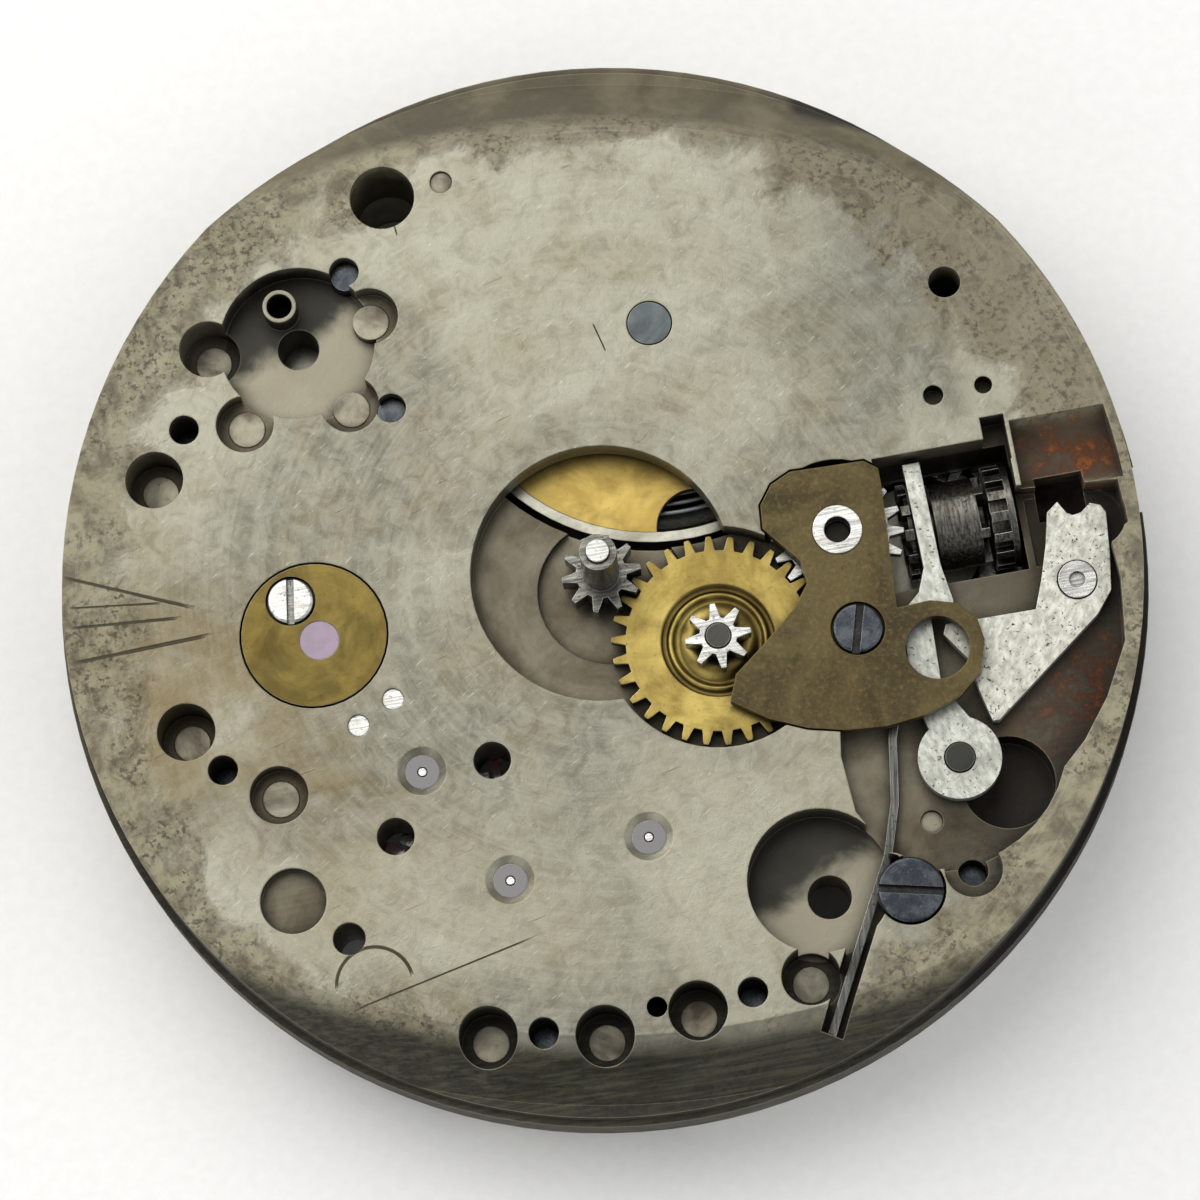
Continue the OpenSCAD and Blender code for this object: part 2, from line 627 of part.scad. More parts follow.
module dial_recesses() {
    top = face_z + 1;
    rod([0, 0], center_recess_r, center_floor_z, top);
    rod([0.18, -0.33], 1.84, center_floor_z - 0.25, top);
    rod(minute_at, minute_recess_r, center_floor_z, top);
    rod(setting_at, tip_r(setting_teeth, minute_module) + run_gap, center_floor_z, top);
    slab(grown(cover_outline, seat_gap), cover_z, top);
    slab(keyless_floor, keyless_z, top);
    channel(bridge_h - 1, top);
    translate([9.85, 1, keyless_z]) cube([0.6, 1.15, 2]);
    intersection() {
        translate([trough_from, trough_y, face_z - trough_depth + trough_r]) rotate([0, 90, 0])
            cylinder(r = trough_r, h = plate_d);
        rod([0, 0], body_r - 0.24, bridge_h, top + 1);
    }
    rod(well_at, well_r, peg_floor_z, top);
    bar([well_from, well_at[1]], well_at, 2 * well_r, peg_floor_z, top);
    translate([peg_slot_at[0], peg_slot_at[1], stem_z]) cube([peg_slot_size[0], peg_slot_size[1], 2]);
    rod(lever_pocket_at, 1.15, keyless_z - 0.9, top);
    rod(wire_screw_at, wire_screw_r + seat_gap, face_z - 0.45, top);
    for (i = [0 : 2])
        bar(wire_route[i], wire_route[i + 1], wire_w + 0.36, keyless_z, top);
    rod(pocket_at, pocket_r, face_z - pocket_depth, top);
    rod(low_pocket_at, low_pocket_r, face_z - low_pocket_depth, top);
    rod(sink_at, hollow_r, face_z - 0.35, top);
    rod(cap_at, cap_r + seat_gap, face_z - cap_th, top);
}
module plate_holes() {
    top = face_z + 1;
    for (p = steady_at) {
        rod(p, steady_r, bridge_h - 1, top);
        rod(p, steady_cb_r, (norm(p) > rim_from ? crescent_z + 0.4 : face_z) - steady_cb, top);
    }
    for (p = screws_at)
        rod(p, screw_r + eps, bridge_h - 1, top);
    for (p = small_pins)
        rod(p, small_pin_r, bridge_h - 1, top);
    for (p = dial_feet_at)
        rod(p, dial_foot_r, bridge_h - 1, top);
    for (p = pallet_screws_at)
        rod(p, pallet_screw_r + eps, bridge_h - 1, bridge_h + 1.15);
    for (p = stone_at)
        rod(p, peep_r, bridge_h - 1, top);
    for (p = banking_at)
        rod(p, banking_r, bridge_h - 1, top);
    rod(hollow_at, hollow_r, bridge_h - 1, top);
    rod(low_pocket_hole_at, 0.54, bridge_h - 1, top);
    rod(blind_at, 0.25, face_z - 1.6, top);
    rod(locating_pit_at[0], 0.25, face_z - 0.5, top);
    rod(locating_pit_at[1], 0.22, face_z - 0.5, top);
    rod(barrel_bridge_screws[3], 0.71, face_z - 0.4, top);
    rod(pocket_hole_at, 0.52, bridge_h - 1, top);
    rod(collar_at, collar_hole_r, face_z - 1.5, top);
}
module pivot_holes() {
    top = face_z + 1;
    rod([0, 0], center_arbor_r + pivot_fit, bridge_h - 1, top);
    rod(barrel_at, barrel_arbor_r + pivot_fit, bridge_h - 1, top);
    for (p = [fourth_at, escape_at, pallet_at]) {
        rod(p, arbor_r + run_gap, bridge_h - 1, plate_jewel_z + eps);
        rod(p, jewel_r, plate_jewel_z, top);
        translate([p[0], p[1], plate_jewel_z + jewel_th])
            cylinder(r1 = jewel_r, r2 = jewel_r + 0.2, h = 0.13);
    }
    rod(third_at, arbor_r + run_gap, bridge_h - 1, third_jewel_z + eps);
    rod(third_at, jewel_r, third_jewel_z, top);
    rod(balance_at, staff_r + run_gap, bridge_h - 1, top);
    rod(balance_at, jewel_r, face_z - cap_th - jewel_th, top);
    rod(lever_at, 0.3, bridge_h - 1, top);
    rod(cap_screw_at, 0.24, bridge_h + 0.8, top);
    rod(cover_screw_at, 0.3, bridge_h + 0.4, top);
    rod(wire_screw_at, 0.35, bridge_h + 0.4, top);
}
module train_recesses() {
    under = bridge_h - 1;
    rod(barrel_at, drum_r + 0.22, under, drum_top + 0.28);
    rod(third_at, tip_r(third_teeth, third_module) + run_gap, under, balance_pocket_z);
    rod(balance_at, balance_r + rim_screw_h + run_gap, under, balance_pocket_z);
    rod(balance_at, roller_r + run_gap, under, escape_pocket_z);
    rod(escape_at, escape_r + run_gap, under, escape_pocket_z);
    rod(fourth_at, tip_r(pinion_leaves, third_module) + run_gap, under, escape_pocket_z);
    rod(pallet_at, 2.1, under, escape_pocket_z);
    bar(pallet_at, balance_at, 1.5, under, escape_pocket_z);
}
module main_plate() color("darkkhaki") {
    difference() {
        plate_blank();
        dial_recesses();
        plate_holes();
        pivot_holes();
        train_recesses();
        along_x(stem_bore_r, channel_x[1] - 0.2, plate_d);
    }
    ring(collar_at, collar_hole_r + 0.1, collar_hole_r, face_z - pocket_depth - eps, face_z - 0.15);
    rod(yoke_at, 0.36, keyless_z - 0.01, yoke_z + yoke_th + 0.05);
    rod(setting_at, post_r, center_floor_z - 0.01, setting_z + minute_th + 0.05);
    rod(minute_at, post_r, center_floor_z - 0.01, face_z + 0.1);
}

// Bridges and cocks, from the plate down to the rest plane
module bridge_cuts(pins, screws) {
    for (p = pins)
        rod(p, steady_r, -1, bridge_h + 1);
    for (p = screws) {
        rod(p, screw_r + eps, -1, bridge_h + 1);
        rod(p, screw_head_r + seat_gap, -1, screw_head_h + 0.05);
    }
}
module pivot_seat(p, r) {
    rod(p, r, bridge_jewel_z, bridge_jewel_z + jewel_th + eps);
    rod(p, arbor_r + run_gap, bridge_jewel_z, bridge_h);
    translate([p[0], p[1], -eps]) cylinder(r1 = r + 0.15, r2 = r, h = bridge_jewel_z + 2 * eps);
}
bridge_outline = [[-14, 2.95], [-9, 2.95], [-3.2, -1], [-1.6, -1.5], [1.6, -1.6], [3.6, -2], [4.7, -3.2],
                  [5, -5.5], [5, -14], [14, -14], [14, 14], [-14, 14]];
module barrel_bridge() color("darkkhaki") {
    ratchet_r = tip_r(ratchet_teeth, ratchet_module) + run_gap;
    wheel_floor = ratchet_sink + ratchet_th + 0.07;
    difference() {
        intersection() {
            rod([0, 0], bridge_r, 0, bridge_h, $fn = 128);
            slab(bridge_outline, -1, bridge_h + 1);
        }
        rod(balance_at, balance_r + rim_screw_h + bridge_gap, -1, bridge_h + 1);
        rod(barrel_at, tip_r(barrel_teeth, barrel_module) + run_gap, arm_th, bridge_h + 1);
        rod([0, 0], tip_r(center_teeth, center_module) + run_gap, arm_th, bridge_h + 1);
        rod(third_at, tip_r(third_teeth, third_module) + run_gap, arm_th, bridge_h + 1);
        rod(barrel_at, ratchet_r, -1, wheel_floor);
        rod(barrel_at, barrel_arbor_r + pivot_fit, -1, bridge_h);
        ring(crown_at, tip_r(crown_teeth, ratchet_module) + run_gap, crown_boss_r, -1, wheel_floor);
        rod(crown_at, crown_boss_r + eps, -1, crown_screw_h);
        rod(crown_at, 0.3, -1, 1.3);
        ring(crown_at, crown_ring_r + run_gap, crown_ring_r - crown_ring_w - run_gap,
             -1, crown_ring_top + 0.08);
        channel(stem_z - winding_r - run_gap, bridge_h + 1);
        rod(click_at, click_eye_r + run_gap, -1, wheel_floor);
        rod(click_at, click_pin_r, -1, arm_th - 0.1);
        rod(click_post_at, click_post_r + 0.15, -1, wheel_floor);
        bar(click_post_at, click_spring_tip, 0.8, -1, wheel_floor);
        bar(click_at, around(barrel_at, ratchet_r, 249), 1.5, -1, wheel_floor);
        rod([0, 0], center_arbor_r - 0.1 + pivot_fit, -1, bridge_h);
        rod(hollow_at, hollow_r, -1, bridge_h + 1);
        rod(small_pins[0], small_pin_r, -1, bridge_h + 1);
        rod(small_pins[1], small_pin_r, -1, bridge_h + 1);
        bridge_cuts(barrel_bridge_pins, barrel_bridge_screws);
    }
}
module foot(wedge, clear_at, clear_r) {
    difference() {
        intersection() {
            rod([0, 0], bridge_r, 0, bridge_h, $fn = 128);
            slab(wedge, -1, bridge_h + 1);
        }
        rod(clear_at, clear_r, -1, bridge_h + 1);
    }
}
fourth_clear_r = tip_r(fourth_teeth, fourth_module) + run_gap;
module fourth_cock() color("darkkhaki") {
    difference() {
        union() {
            foot([[-0.55, -plate_d], [-0.55, foot_in], [4.6, foot_in], [4.6, -plate_d]],
                 fourth_at, fourth_clear_r);
            bar(fourth_foot_screw, fourth_at, 2, 0, arm_th);
            bar(fourth_at, third_at, 1.8, 0, arm_th);
            rod(fourth_at, arm_end_r, 0, arm_th);
            rod(third_at, arm_end_r, 0, arm_th);
        }
        pivot_seat(fourth_at, jewel_r);
        pivot_seat(third_at, jewel_r);
        bridge_cuts(fourth_foot_pins, [fourth_foot_screw]);
    }
}
module escape_cock() color("darkkhaki") {
    difference() {
        union() {
            foot([[-5.7, -plate_d], [-5.7, foot_in], [-0.85, foot_in], [-0.85, -plate_d]],
                 fourth_at, fourth_clear_r);
            bar(escape_foot_screw, escape_at, 1.8, 0, arm_th);
            rod(escape_at, 1.05, 0, arm_th);
        }
        pivot_seat(escape_at, jewel_r);
        bridge_cuts(escape_foot_pins, [escape_foot_screw]);
    }
}
regulator_sink = 0.35;
module balance_cock() color("darkkhaki") {
    wedge = [balance_at, around(balance_at, 9, 190), around(balance_at, 10, 223),
             around(balance_at, 12, 256)];
    difference() {
        union() {
            foot(wedge, balance_at, balance_r + rim_screw_h + run_gap);
            bar(balance_at, around(balance_at, 4.6, stud_turn), 2.2, 0, arm_th);
            rod(balance_at, 1.7, 0, arm_th);
        }
        rod(balance_at, jewel_r, -1, arm_th - 0.1);
        rod(balance_at, staff_r + run_gap, -1, bridge_h);
        rod(balance_at, 1.2, -1, regulator_sink);
        bar(balance_at, around(balance_at, 3, regulator_turn), 1.5, -1, regulator_sink);
        rod(stud_at, stud_r, -1, bridge_h);
        bridge_cuts(balance_foot_pins, [balance_foot_screw]);
    }
}
module pallet_cock() color("darkkhaki") {
    z0 = bridge_h - pallet_cock_th;
    difference() {
        union() {
            for (p = pallet_screws_at) {
                rod(p, 0.48, z0, bridge_h);
                bar(pallet_at, p, 0.8, z0, bridge_h);
            }
            rod(pallet_at, 0.65, z0, bridge_h);
        }
        for (p = pallet_screws_at)
            rod(p, pallet_screw_r + eps, z0 - 1, bridge_h + 1);
        rod(pallet_at, pivot_r + pivot_fit, z0 - 1, bridge_h + 1);
        rod(balance_at, balance_r + rim_screw_h + run_gap, z0 - 1, bridge_h + 1);
    }
}

// Barrel: toothed drum, cover with its notch, arbor and mainspring
module barrel_drum() color("silver") {
    difference() {
        union() {
            gear(barrel_at, barrel_teeth, barrel_module, barrel_phase, drum_z, drum_z + barrel_tooth_h);
            rod(barrel_at, drum_r, drum_z, drum_top);
        }
        rod(barrel_at, drum_r - drum_wall, drum_z + drum_floor, drum_top + 1);
        rod(barrel_at, barrel_arbor_r + pivot_fit, drum_z - 1, drum_top);
    }
}
module barrel_cover() color("goldenrod") {
    z0 = drum_top - cover_th - 0.03;
    difference() {
        rod(barrel_at, drum_r - drum_wall, z0, z0 + cover_th);
        rod(barrel_at, barrel_arbor_r + pivot_fit, z0 - 1, drum_top + 1);
        rod(around(barrel_at, drum_r - drum_wall, cover_notch_turn), cover_notch_r, z0 - 1, drum_top + 1);
    }
}
module barrel_arbor() color("lightgray") {
    difference() {
        rod(barrel_at, barrel_arbor_r, ratchet_sink + ratchet_seat, face_z);
        rod(barrel_at, ratchet_thread_r, 0, ratchet_sink + ratchet_seat + 1);
    }
    rod(barrel_at, arbor_core_r, drum_z + drum_floor + 0.05, drum_top - cover_th - 0.08);
}
// Flat spiral strip: r0 is its inner radius, one step wider each turn
function spiral_r(r0, pitch, t) = r0 + pitch * t;
function strip_points(r0, pitch, turns, w, a0, n) = concat(
    [for (i = [0 : turns * n]) around([0, 0], spiral_r(r0, pitch, i / n), a0 + 360 * i / n)],
    [for (i = [turns * n : -1 : 0]) around([0, 0], spiral_r(r0, pitch, i / n) + w, a0 + 360 * i / n)]);
module strip(p, r0, pitch, turns, w, a0, n, z0, z1) {
    translate([p[0], p[1], z0]) linear_extrude(z1 - z0) polygon(strip_points(r0, pitch, turns, w, a0, n));
}
// Least distance from a strip's outer edge to the inner edge of its next turn, measured point by point
function strip_gap(r0, pitch, turns, w, n) = min([for (i = [0 : (turns - 1) * n]) for (j = [n - 3 : n + 3])
    if (i + j <= turns * n) norm(around([0, 0], spiral_r(r0, pitch, (i + j) / n), 360 * (i + j) / n)
        - around([0, 0], spiral_r(r0, pitch, i / n) + w, 360 * i / n))]);
spring_steps = 24;
regulator_lag = (stud_turn - regulator_turn) / 360;
echo("least gap between mainspring turns, mm",
     strip_gap(arbor_core_r, spring_pitch, spring_turns, spring_t, spring_steps));
echo("least gap between hairspring turns, mm",
     strip_gap(hair_r0, hair_pitch, hair_turns, hair_t, spring_steps));
module mainspring() color("dimgray") {
    z0 = drum_z + drum_floor + 0.1;
    strip(barrel_at, arbor_core_r, spring_pitch, spring_turns, spring_t, 20, spring_steps, z0, z0 + spring_h);
}

// Winding works on the bridge side
module ratchet_wheel() color("silver") {
    difference() {
        gear(barrel_at, ratchet_teeth, ratchet_module, ratchet_phase,
             ratchet_sink, ratchet_sink + ratchet_th);
        rod(barrel_at, barrel_arbor_r, ratchet_sink - 1, 1);
        rod(barrel_at, ratchet_screw_r + seat_gap, ratchet_sink - 1, ratchet_sink + ratchet_seat);
    }
}
module ratchet_screw() color("steelblue") {
    bridge_screw(barrel_at, ratchet_screw_r, ratchet_seat, ratchet_thread_r, ratchet_sink,
                 ratchet_sink + ratchet_seat + 0.95, 30);
}
module crown_wheel() color("silver") {
    difference() {
        union() {
            gear(crown_at, crown_teeth, ratchet_module, crown_phase, ratchet_sink, ratchet_sink + ratchet_th);
            rod(crown_at, crown_ring_r, ratchet_sink, crown_ring_top);
        }
        rod(crown_at, crown_ring_r - crown_ring_w, ratchet_sink + ratchet_th, crown_ring_top + 1);
        rod(crown_at, crown_boss_r + pivot_fit, ratchet_sink - 1, crown_ring_top);
        rod(crown_at, crown_screw_r + run_gap, ratchet_sink - 1, ratchet_sink + crown_screw_h);
        for (k = [0 : crown_ring_teeth - 1])
            translate([crown_at[0], crown_at[1], crown_ring_top - crown_notch_d])
                rotate([0, 0, 360 / crown_ring_teeth * k])
                    translate([crown_ring_r - crown_ring_w - 0.1, -crown_notch_w / 2, 0])
                        cube([crown_ring_w + 0.2, crown_notch_w, 1]);
    }
}
module crown_wheel_screw() color("steelblue") {
    bridge_screw(crown_at, crown_screw_r, crown_screw_h - 0.03, 0.3, 0.03, 1.25, 70);
}
module click() color("silver") {
    z0 = ratchet_sink;
    beak = around(barrel_at, tip_r(ratchet_teeth, ratchet_module) - 0.12, 250);
    difference() {
        union() {
            rod(click_at, click_eye_r, z0, z0 + click_th);
            slab([around(click_at, 0.58, 100), beak, around(click_at, 0.58, -40)], z0, z0 + click_th);
        }
        rod(click_at, click_pin_r + pivot_fit, z0 - 1, 1);
        rod(click_at, click_head_r + run_gap, z0 - 1, z0 + 0.12);
    }
}
module click_screw() color("steelblue") {
    bridge_screw(click_at, click_head_r, 0.1, click_pin_r, 0.05, arm_th - 0.15, 120);
}
module click_spring() color("lightgray") {
    z0 = ratchet_sink + 0.05;
    rod(click_post_at, click_post_r, z0, z0 + 0.32);
    bar(click_post_at, click_spring_tip, click_spring_w, z0 + 0.05, z0 + 0.3);
}

// Going train
module center_wheel() color("goldenrod") {
    spoked([0, 0], center_teeth, center_module, center_phase, center_z, wheel_th,
           5, wheel_hub_r, center_arbor_r);
}
module center_arbor() color("lightgray") {
    rod([0, 0], center_arbor_r - 0.1, 0.15, center_z);
    rod([0, 0], center_arbor_r, center_z - 0.05, face_z + pipe_h);
    gear([0, 0], pinion_leaves, barrel_module, center_pinion_phase,
         center_z + wheel_th, drum_z + barrel_tooth_h - 0.04);
}
module arbor(p, z0, z1) {
    rod(p, pivot_r, z0, z1);
    rod(p, arbor_r, z0 + jewel_th + 0.1, z1 - jewel_th - 0.1);
}
module third_wheel() color("goldenrod") {
    spoked(third_at, third_teeth, third_module, third_phase, third_z, wheel_th, 5, wheel_hub_r, arbor_r);
}
module third_pinion() color("lightgray") {
    arbor(third_at, bridge_jewel_z, third_jewel_z + jewel_th);
    gear(third_at, pinion_leaves, center_module, third_pinion_phase, third_leaves_z, third_leaves_z + 0.34);
    rod(third_at, 0.34, third_z - 0.1, third_z);
}
module fourth_wheel() color("goldenrod") {
    spoked(fourth_at, fourth_teeth, fourth_module, fourth_phase, fourth_z, wheel_th,
           5, wheel_hub_r - 0.1, arbor_r);
}
module fourth_pinion() color("lightgray") {
    arbor(fourth_at, bridge_jewel_z, plate_jewel_z + jewel_th);
    gear(fourth_at, pinion_leaves, third_module, fourth_pinion_phase,
         third_z - 0.15, third_z + wheel_th + 0.15);
}
module escape_tooth(a) {
    tip = escape_r;
    rotate([0, 0, a]) linear_extrude(escape_th)
        polygon([around([0, 0], tip * 0.8, -1.5), around([0, 0], tip * 0.985, 3.2), around([0, 0], tip, 6.4),
                 around([0, 0], tip * 0.94, 6.6), around([0, 0], tip * 0.8, 3.8)]);
}
module escape_wheel() color("lightgray") {
    inner = escape_r * 0.72;
    translate([escape_at[0], escape_at[1], escape_z]) {
        difference() {
            cylinder(r = escape_r * 0.8 + 0.02, h = escape_th);
            difference() {
                ring([0, 0], inner, 0.55, -eps, escape_th + eps);
                for (k = [0 : 3])
                    bar([0, 0], around([0, 0], inner + 1, 20 + 90 * k), 0.22, -1, escape_th + 1);
            }
            cylinder(r = arbor_r, h = 9, center = true);
        }
        for (k = [0 : escape_teeth - 1])
            escape_tooth(pallet_turn + 360 / escape_teeth * (k + 0.25));
    }
}
module escape_pinion() color("lightgray") {
    arbor(escape_at, bridge_jewel_z, plate_jewel_z + jewel_th);
    gear(escape_at, escape_leaves, fourth_module, escape_pinion_phase,
         fourth_z - 0.12, fourth_z + wheel_th + 0.3);
}

// Lever escapement: fork, its arbor and the two stones
notch_r = lever_reach - impulse_at_r;
module pallet_fork() color("lightgray") {
    z1 = escape_z + escape_th;
    difference() {
        union() {
            rod(pallet_at, 0.42, escape_z, z1);
            bar(pallet_at, around(pallet_at, notch_r - 0.3, lever_turn_at_rest), 2 * lever_w, escape_z, z1);
            for (p = stone_at)
                bar(pallet_at, around(p, 0.2, turn_to(p, pallet_at)), 0.34, escape_z, z1);
            translate([pallet_at[0], pallet_at[1], escape_z]) rotate([0, 0, lever_turn_at_rest])
                linear_extrude(escape_th) polygon([[notch_r - 0.62, -0.09], [notch_r - 0.3, -0.36],
                    [notch_r + 0.12, -0.4],
                    [notch_r + 0.12, 0.4], [notch_r - 0.3, 0.36], [notch_r - 0.62, 0.09]]);
        }
        bar(around(pallet_at, notch_r - 0.2, lever_turn_at_rest),
            around(pallet_at, notch_r + 1, lever_turn_at_rest),
            2 * impulse_r + 0.06, escape_z - 1, z1 + 1);
        rod(pallet_at, pivot_r + 0.06, escape_z - 1, z1 + 1);
        for (p = stone_at)
            stone_box(p, escape_z - 1, z1 + 1);
    }
}
// A stone points from its tip at the escape wheel's edge along the pallet's arm
module stone_box(p, z0, z1) {
    in = turn_to(escape_at, p);
    bar(around(p, -0.04, in), around(p, stone_l - 0.04, in), stone_w, z0, z1);
}
module pallet_stones() color("crimson") {
    for (p = stone_at)
        stone_box(p, escape_z, escape_z + escape_th);
}
module pallet_arbor() color("lightgray") {
    rod(pallet_at, pivot_r, bridge_h - pallet_cock_th, plate_jewel_z + jewel_th);
    rod(pallet_at, pivot_r + 0.06, bridge_h + 0.03, plate_jewel_z - 0.1);
}

// Balance
module balance_wheel() color("goldenrod") {
    z1 = balance_z + rim_h;
    difference() {
        union() {
            ring(balance_at, balance_r, balance_r - rim_w, balance_z, z1);
            rod(balance_at, 0.7, z1 - 0.25, z1);
            for (k = [0, 1])
                bar(around(balance_at, balance_r - 0.1, 20 + 180 * k), balance_at, 0.5, z1 - 0.25, z1);
        }
        rod(balance_at, staff_r, balance_z - 1, z1 + 1);
        for (k = [0 : rim_screws - 1])
            rim_bore(k, rim_screw_r * 0.5);
    }
}
module rim_bore(k, r) {
    a = 360 / rim_screws * (k + 0.5) + 20;
    translate([balance_at[0], balance_at[1], balance_z + rim_h / 2]) rotate([0, 90, a])
        translate([0, 0, balance_r - 0.25]) cylinder(r = r, h = 0.25 + eps);
}
module balance_screws() color("gold") {
    for (k = [0 : rim_screws - 1]) {
        rim_bore(k, rim_screw_r * 0.5);
        translate([balance_at[0], balance_at[1], balance_z + rim_h / 2])
            rotate([0, 90, 360 / rim_screws * (k + 0.5) + 20])
                translate([0, 0, balance_r]) cylinder(r = rim_screw_r, h = rim_screw_h);
    }
}
staff_top = face_z - cap_th - 0.02;
module balance_staff() color("lightgray") {
    rod(balance_at, pivot_r - 0.02, 0.32, staff_top);
    rod(balance_at, staff_r, arm_th - 0.05, face_z - cap_th - jewel_th - 0.08);
    rod(balance_at, staff_r + 0.16, balance_z + rim_h - 0.32, balance_z + rim_h - 0.25);
}
module roller() color("lightgray") {
    ring(balance_at, roller_r, staff_r, roller_z, roller_z + 0.2);
}
impulse_at = around(balance_at, impulse_at_r, lever_turn_at_rest + 180);
module impulse_jewel() color("crimson") {
    rod(impulse_at, impulse_r, roller_z + 0.2, escape_z + escape_th + 0.03);
}
module hairspring() color("steelblue") {
    strip(balance_at, hair_r0, hair_pitch, hair_turns, hair_t, stud_turn,
          spring_steps, hair_z, hair_z + hair_h);
}
module hairspring_collet() color("goldenrod") {
    ring(balance_at, collet_r, staff_r, hair_z - 0.1, hair_z + hair_h + 0.05);
}
module hairspring_stud() color("lightgray") {
    rod(stud_at, stud_r, 0.05, hair_z + hair_h + 0.03);
}
module regulator() color("silver") {
    difference() {
        union() {
            rod(balance_at, 1.1, 0.08, regulator_sink - 0.02);
            bar(balance_at, around(balance_at, 2.65, regulator_turn), 0.5, 0.08, regulator_sink - 0.02);
        }
        rod(balance_at, 0.62, -1, 1);
    }
    for (s = [-1, 1])
        rod(around(balance_at, hair_r0 + hair_t / 2 + hair_pitch * (hair_turns - regulator_lag) + 0.13 * s,
                   regulator_turn), 0.045, regulator_sink - 0.03, hair_z + hair_h + 0.05);
}
module upper_cap_jewel() color("crimson") {
    rod(balance_at, 0.58, 0.1, 0.3);
    ring(balance_at, jewel_r, pivot_r + 0.01, regulator_sink, arm_th - 0.1);
}

// Minute works
module cannon_pinion() color("silver") {
    difference() {
        union() {
            gear([0, 0], cannon_leaves, minute_module, cannon_phase, center_floor_z + 0.03, face_z - 0.1);
            rod([0, 0], pipe_r, center_floor_z + 0.03, face_z + pipe_h - 0.15);
        }
        rod([0, 0], center_arbor_r + 0.01, bridge_h, face_z + pipe_h + 1);
    }
}
module minute_wheel() color("goldenrod") {
    difference() {
        gear(minute_at, minute_teeth, minute_module, minute_phase, minute_z, minute_z + minute_th);
        rod(minute_at, post_r + pivot_fit, minute_z - 1, face_z + 1);
        ring(minute_at, 1.75, 1.45, minute_z + minute_th - 0.06, face_z);
    }
}
module minute_pinion() color("silver") {
    difference() {
        gear(minute_at, minute_leaves, minute_module, 0, minute_z + minute_th, face_z + 0.05);
        rod(minute_at, post_r + pivot_fit, minute_z, face_z + 1);
    }
}
module setting_wheel() color("silver") {
    difference() {
        gear(setting_at, setting_teeth, minute_module, setting_phase, setting_z, setting_z + minute_th);
        rod(setting_at, post_r + pivot_fit, setting_z - 1, face_z);
    }
}

// Winding pinion and sliding clutch, on the stem's line
module saw_teeth(r, x0, x1, n) {
    for (k = [0 : n - 1])
        translate([x0, 0, stem_z]) rotate([360 / n * k, 0, 0]) translate([0, 0.45, -0.12])
            cube([x1 - x0, r - 0.45, 0.24]);
}
module winding_pinion() color("silver") {
    x1 = winding_from + winding_l;
    difference() {
        along_x(winding_r, winding_from, x1);
        along_x(stem_hole_r, winding_from - 1, x1 + 1);
        for (k = [0 : winding_teeth - 1])
            translate([winding_from - eps, 0, stem_z]) rotate([270 + 360 / winding_teeth * (k + 0.5), 0, 0])
                translate([0, winding_r - winding_slot_d, -winding_slot_w / 2])
                    cube([winding_l - 0.15, 1, winding_slot_w]);
    }
}
module clutch_wheel() color("silver") {
    x0 = clutch_from;
    difference() {
        union() {
            along_x(clutch_groove_r, x0 + clutch_tooth_l, x0 + clutch_l - 0.05);
            along_x(clutch_body_r, x0 + clutch_tooth_l, x0 + clutch_tooth_l + clutch_flange_l);
            along_x(clutch_body_r, x0 + clutch_tooth_l + clutch_flange_l + groove_w, x0 + clutch_l - 0.2);
            saw_teeth(clutch_body_r, x0 + clutch_l - 0.21, x0 + clutch_l, 6);
            for (k = [0 : clutch_teeth - 1])
                translate([x0, 0, stem_z]) rotate([360 / clutch_teeth * (k + 0.5), 0, 0])
                    translate([0, 0.85, -0.13])
                        cube([clutch_tooth_l + clutch_flange_l, clutch_r - 0.87, 0.26]);
        }
        along_x(stem_hole_r, x0 - 1, x0 + clutch_l + 1);
    }
}

// Keyless works
module yoke() color("silver") {
    difference() {
        union() {
            rod(yoke_at, yoke_eye_r, yoke_z, yoke_z + yoke_th);
            slab(yoke_outline, yoke_z, yoke_z + yoke_th);
        }
        rod(yoke_at, 0.36 + pivot_fit, yoke_z - 1, face_z);
    }
}
module yoke_spring() color("dimgray") {
    z0 = keyless_z + 0.02;
    for (i = [0 : len(wire_route) - 2])
        bar(wire_route[i], wire_route[i + 1], wire_w, z0, z0 + 0.3);
    for (i = [1 : len(wire_route) - 2])
        rod(wire_route[i], wire_w / 2, z0, z0 + 0.3);
}
module yoke_spring_screw() color("midnightblue") {
    dial_screw(wire_screw_at, wire_screw_r, face_z - 0.45, 0.35, bridge_h + 0.45, face_z + 0.05, -13);
}
module setting_lever() color("silver") {
    difference() {
        slab(lever_outline, lever_z, lever_z + lever_th);
        rod(lever_at, lever_screw_r + pivot_fit, lever_z - 1, face_z);
    }
    rod(peg_at, peg_r, peg_floor_z + 0.02, lever_z + eps);
}
module setting_lever_screw() color("gray") {
    difference() {
        rod(lever_at, lever_screw_r, keyless_z + 0.01, lever_z + lever_th + 0.05);
        rod(lever_at, 0.2, lever_z + lever_th - 0.05, face_z);
    }
    rod(lever_at, 0.3, bridge_h + 0.05, keyless_z + 0.02);
}
module cover_plate() color("peru") {
    difference() {
        slab(cover_outline, cover_z, face_z);
        rod(cover_hole_at, cover_hole_r, cover_z - 1, face_z + 1);
        rod(cover_screw_at, cover_screw_r + seat_gap, face_z - 0.2, face_z + 1);
        rod(cover_screw_at, 0.33, cover_z - 1, face_z + 1);
        rod(setting_at, 0.61, cover_z - 1, face_z + 1);
    }
}
module cover_plate_screw() color("midnightblue") {
    dial_screw(cover_screw_at, cover_screw_r, face_z - 0.2, 0.3, bridge_h + 0.45, face_z + 0.05, 74);
}
module cover_bush() color("lightgray") {
    ring(setting_at, 0.61, post_r + pivot_fit, cover_z, face_z + 0.04);
}

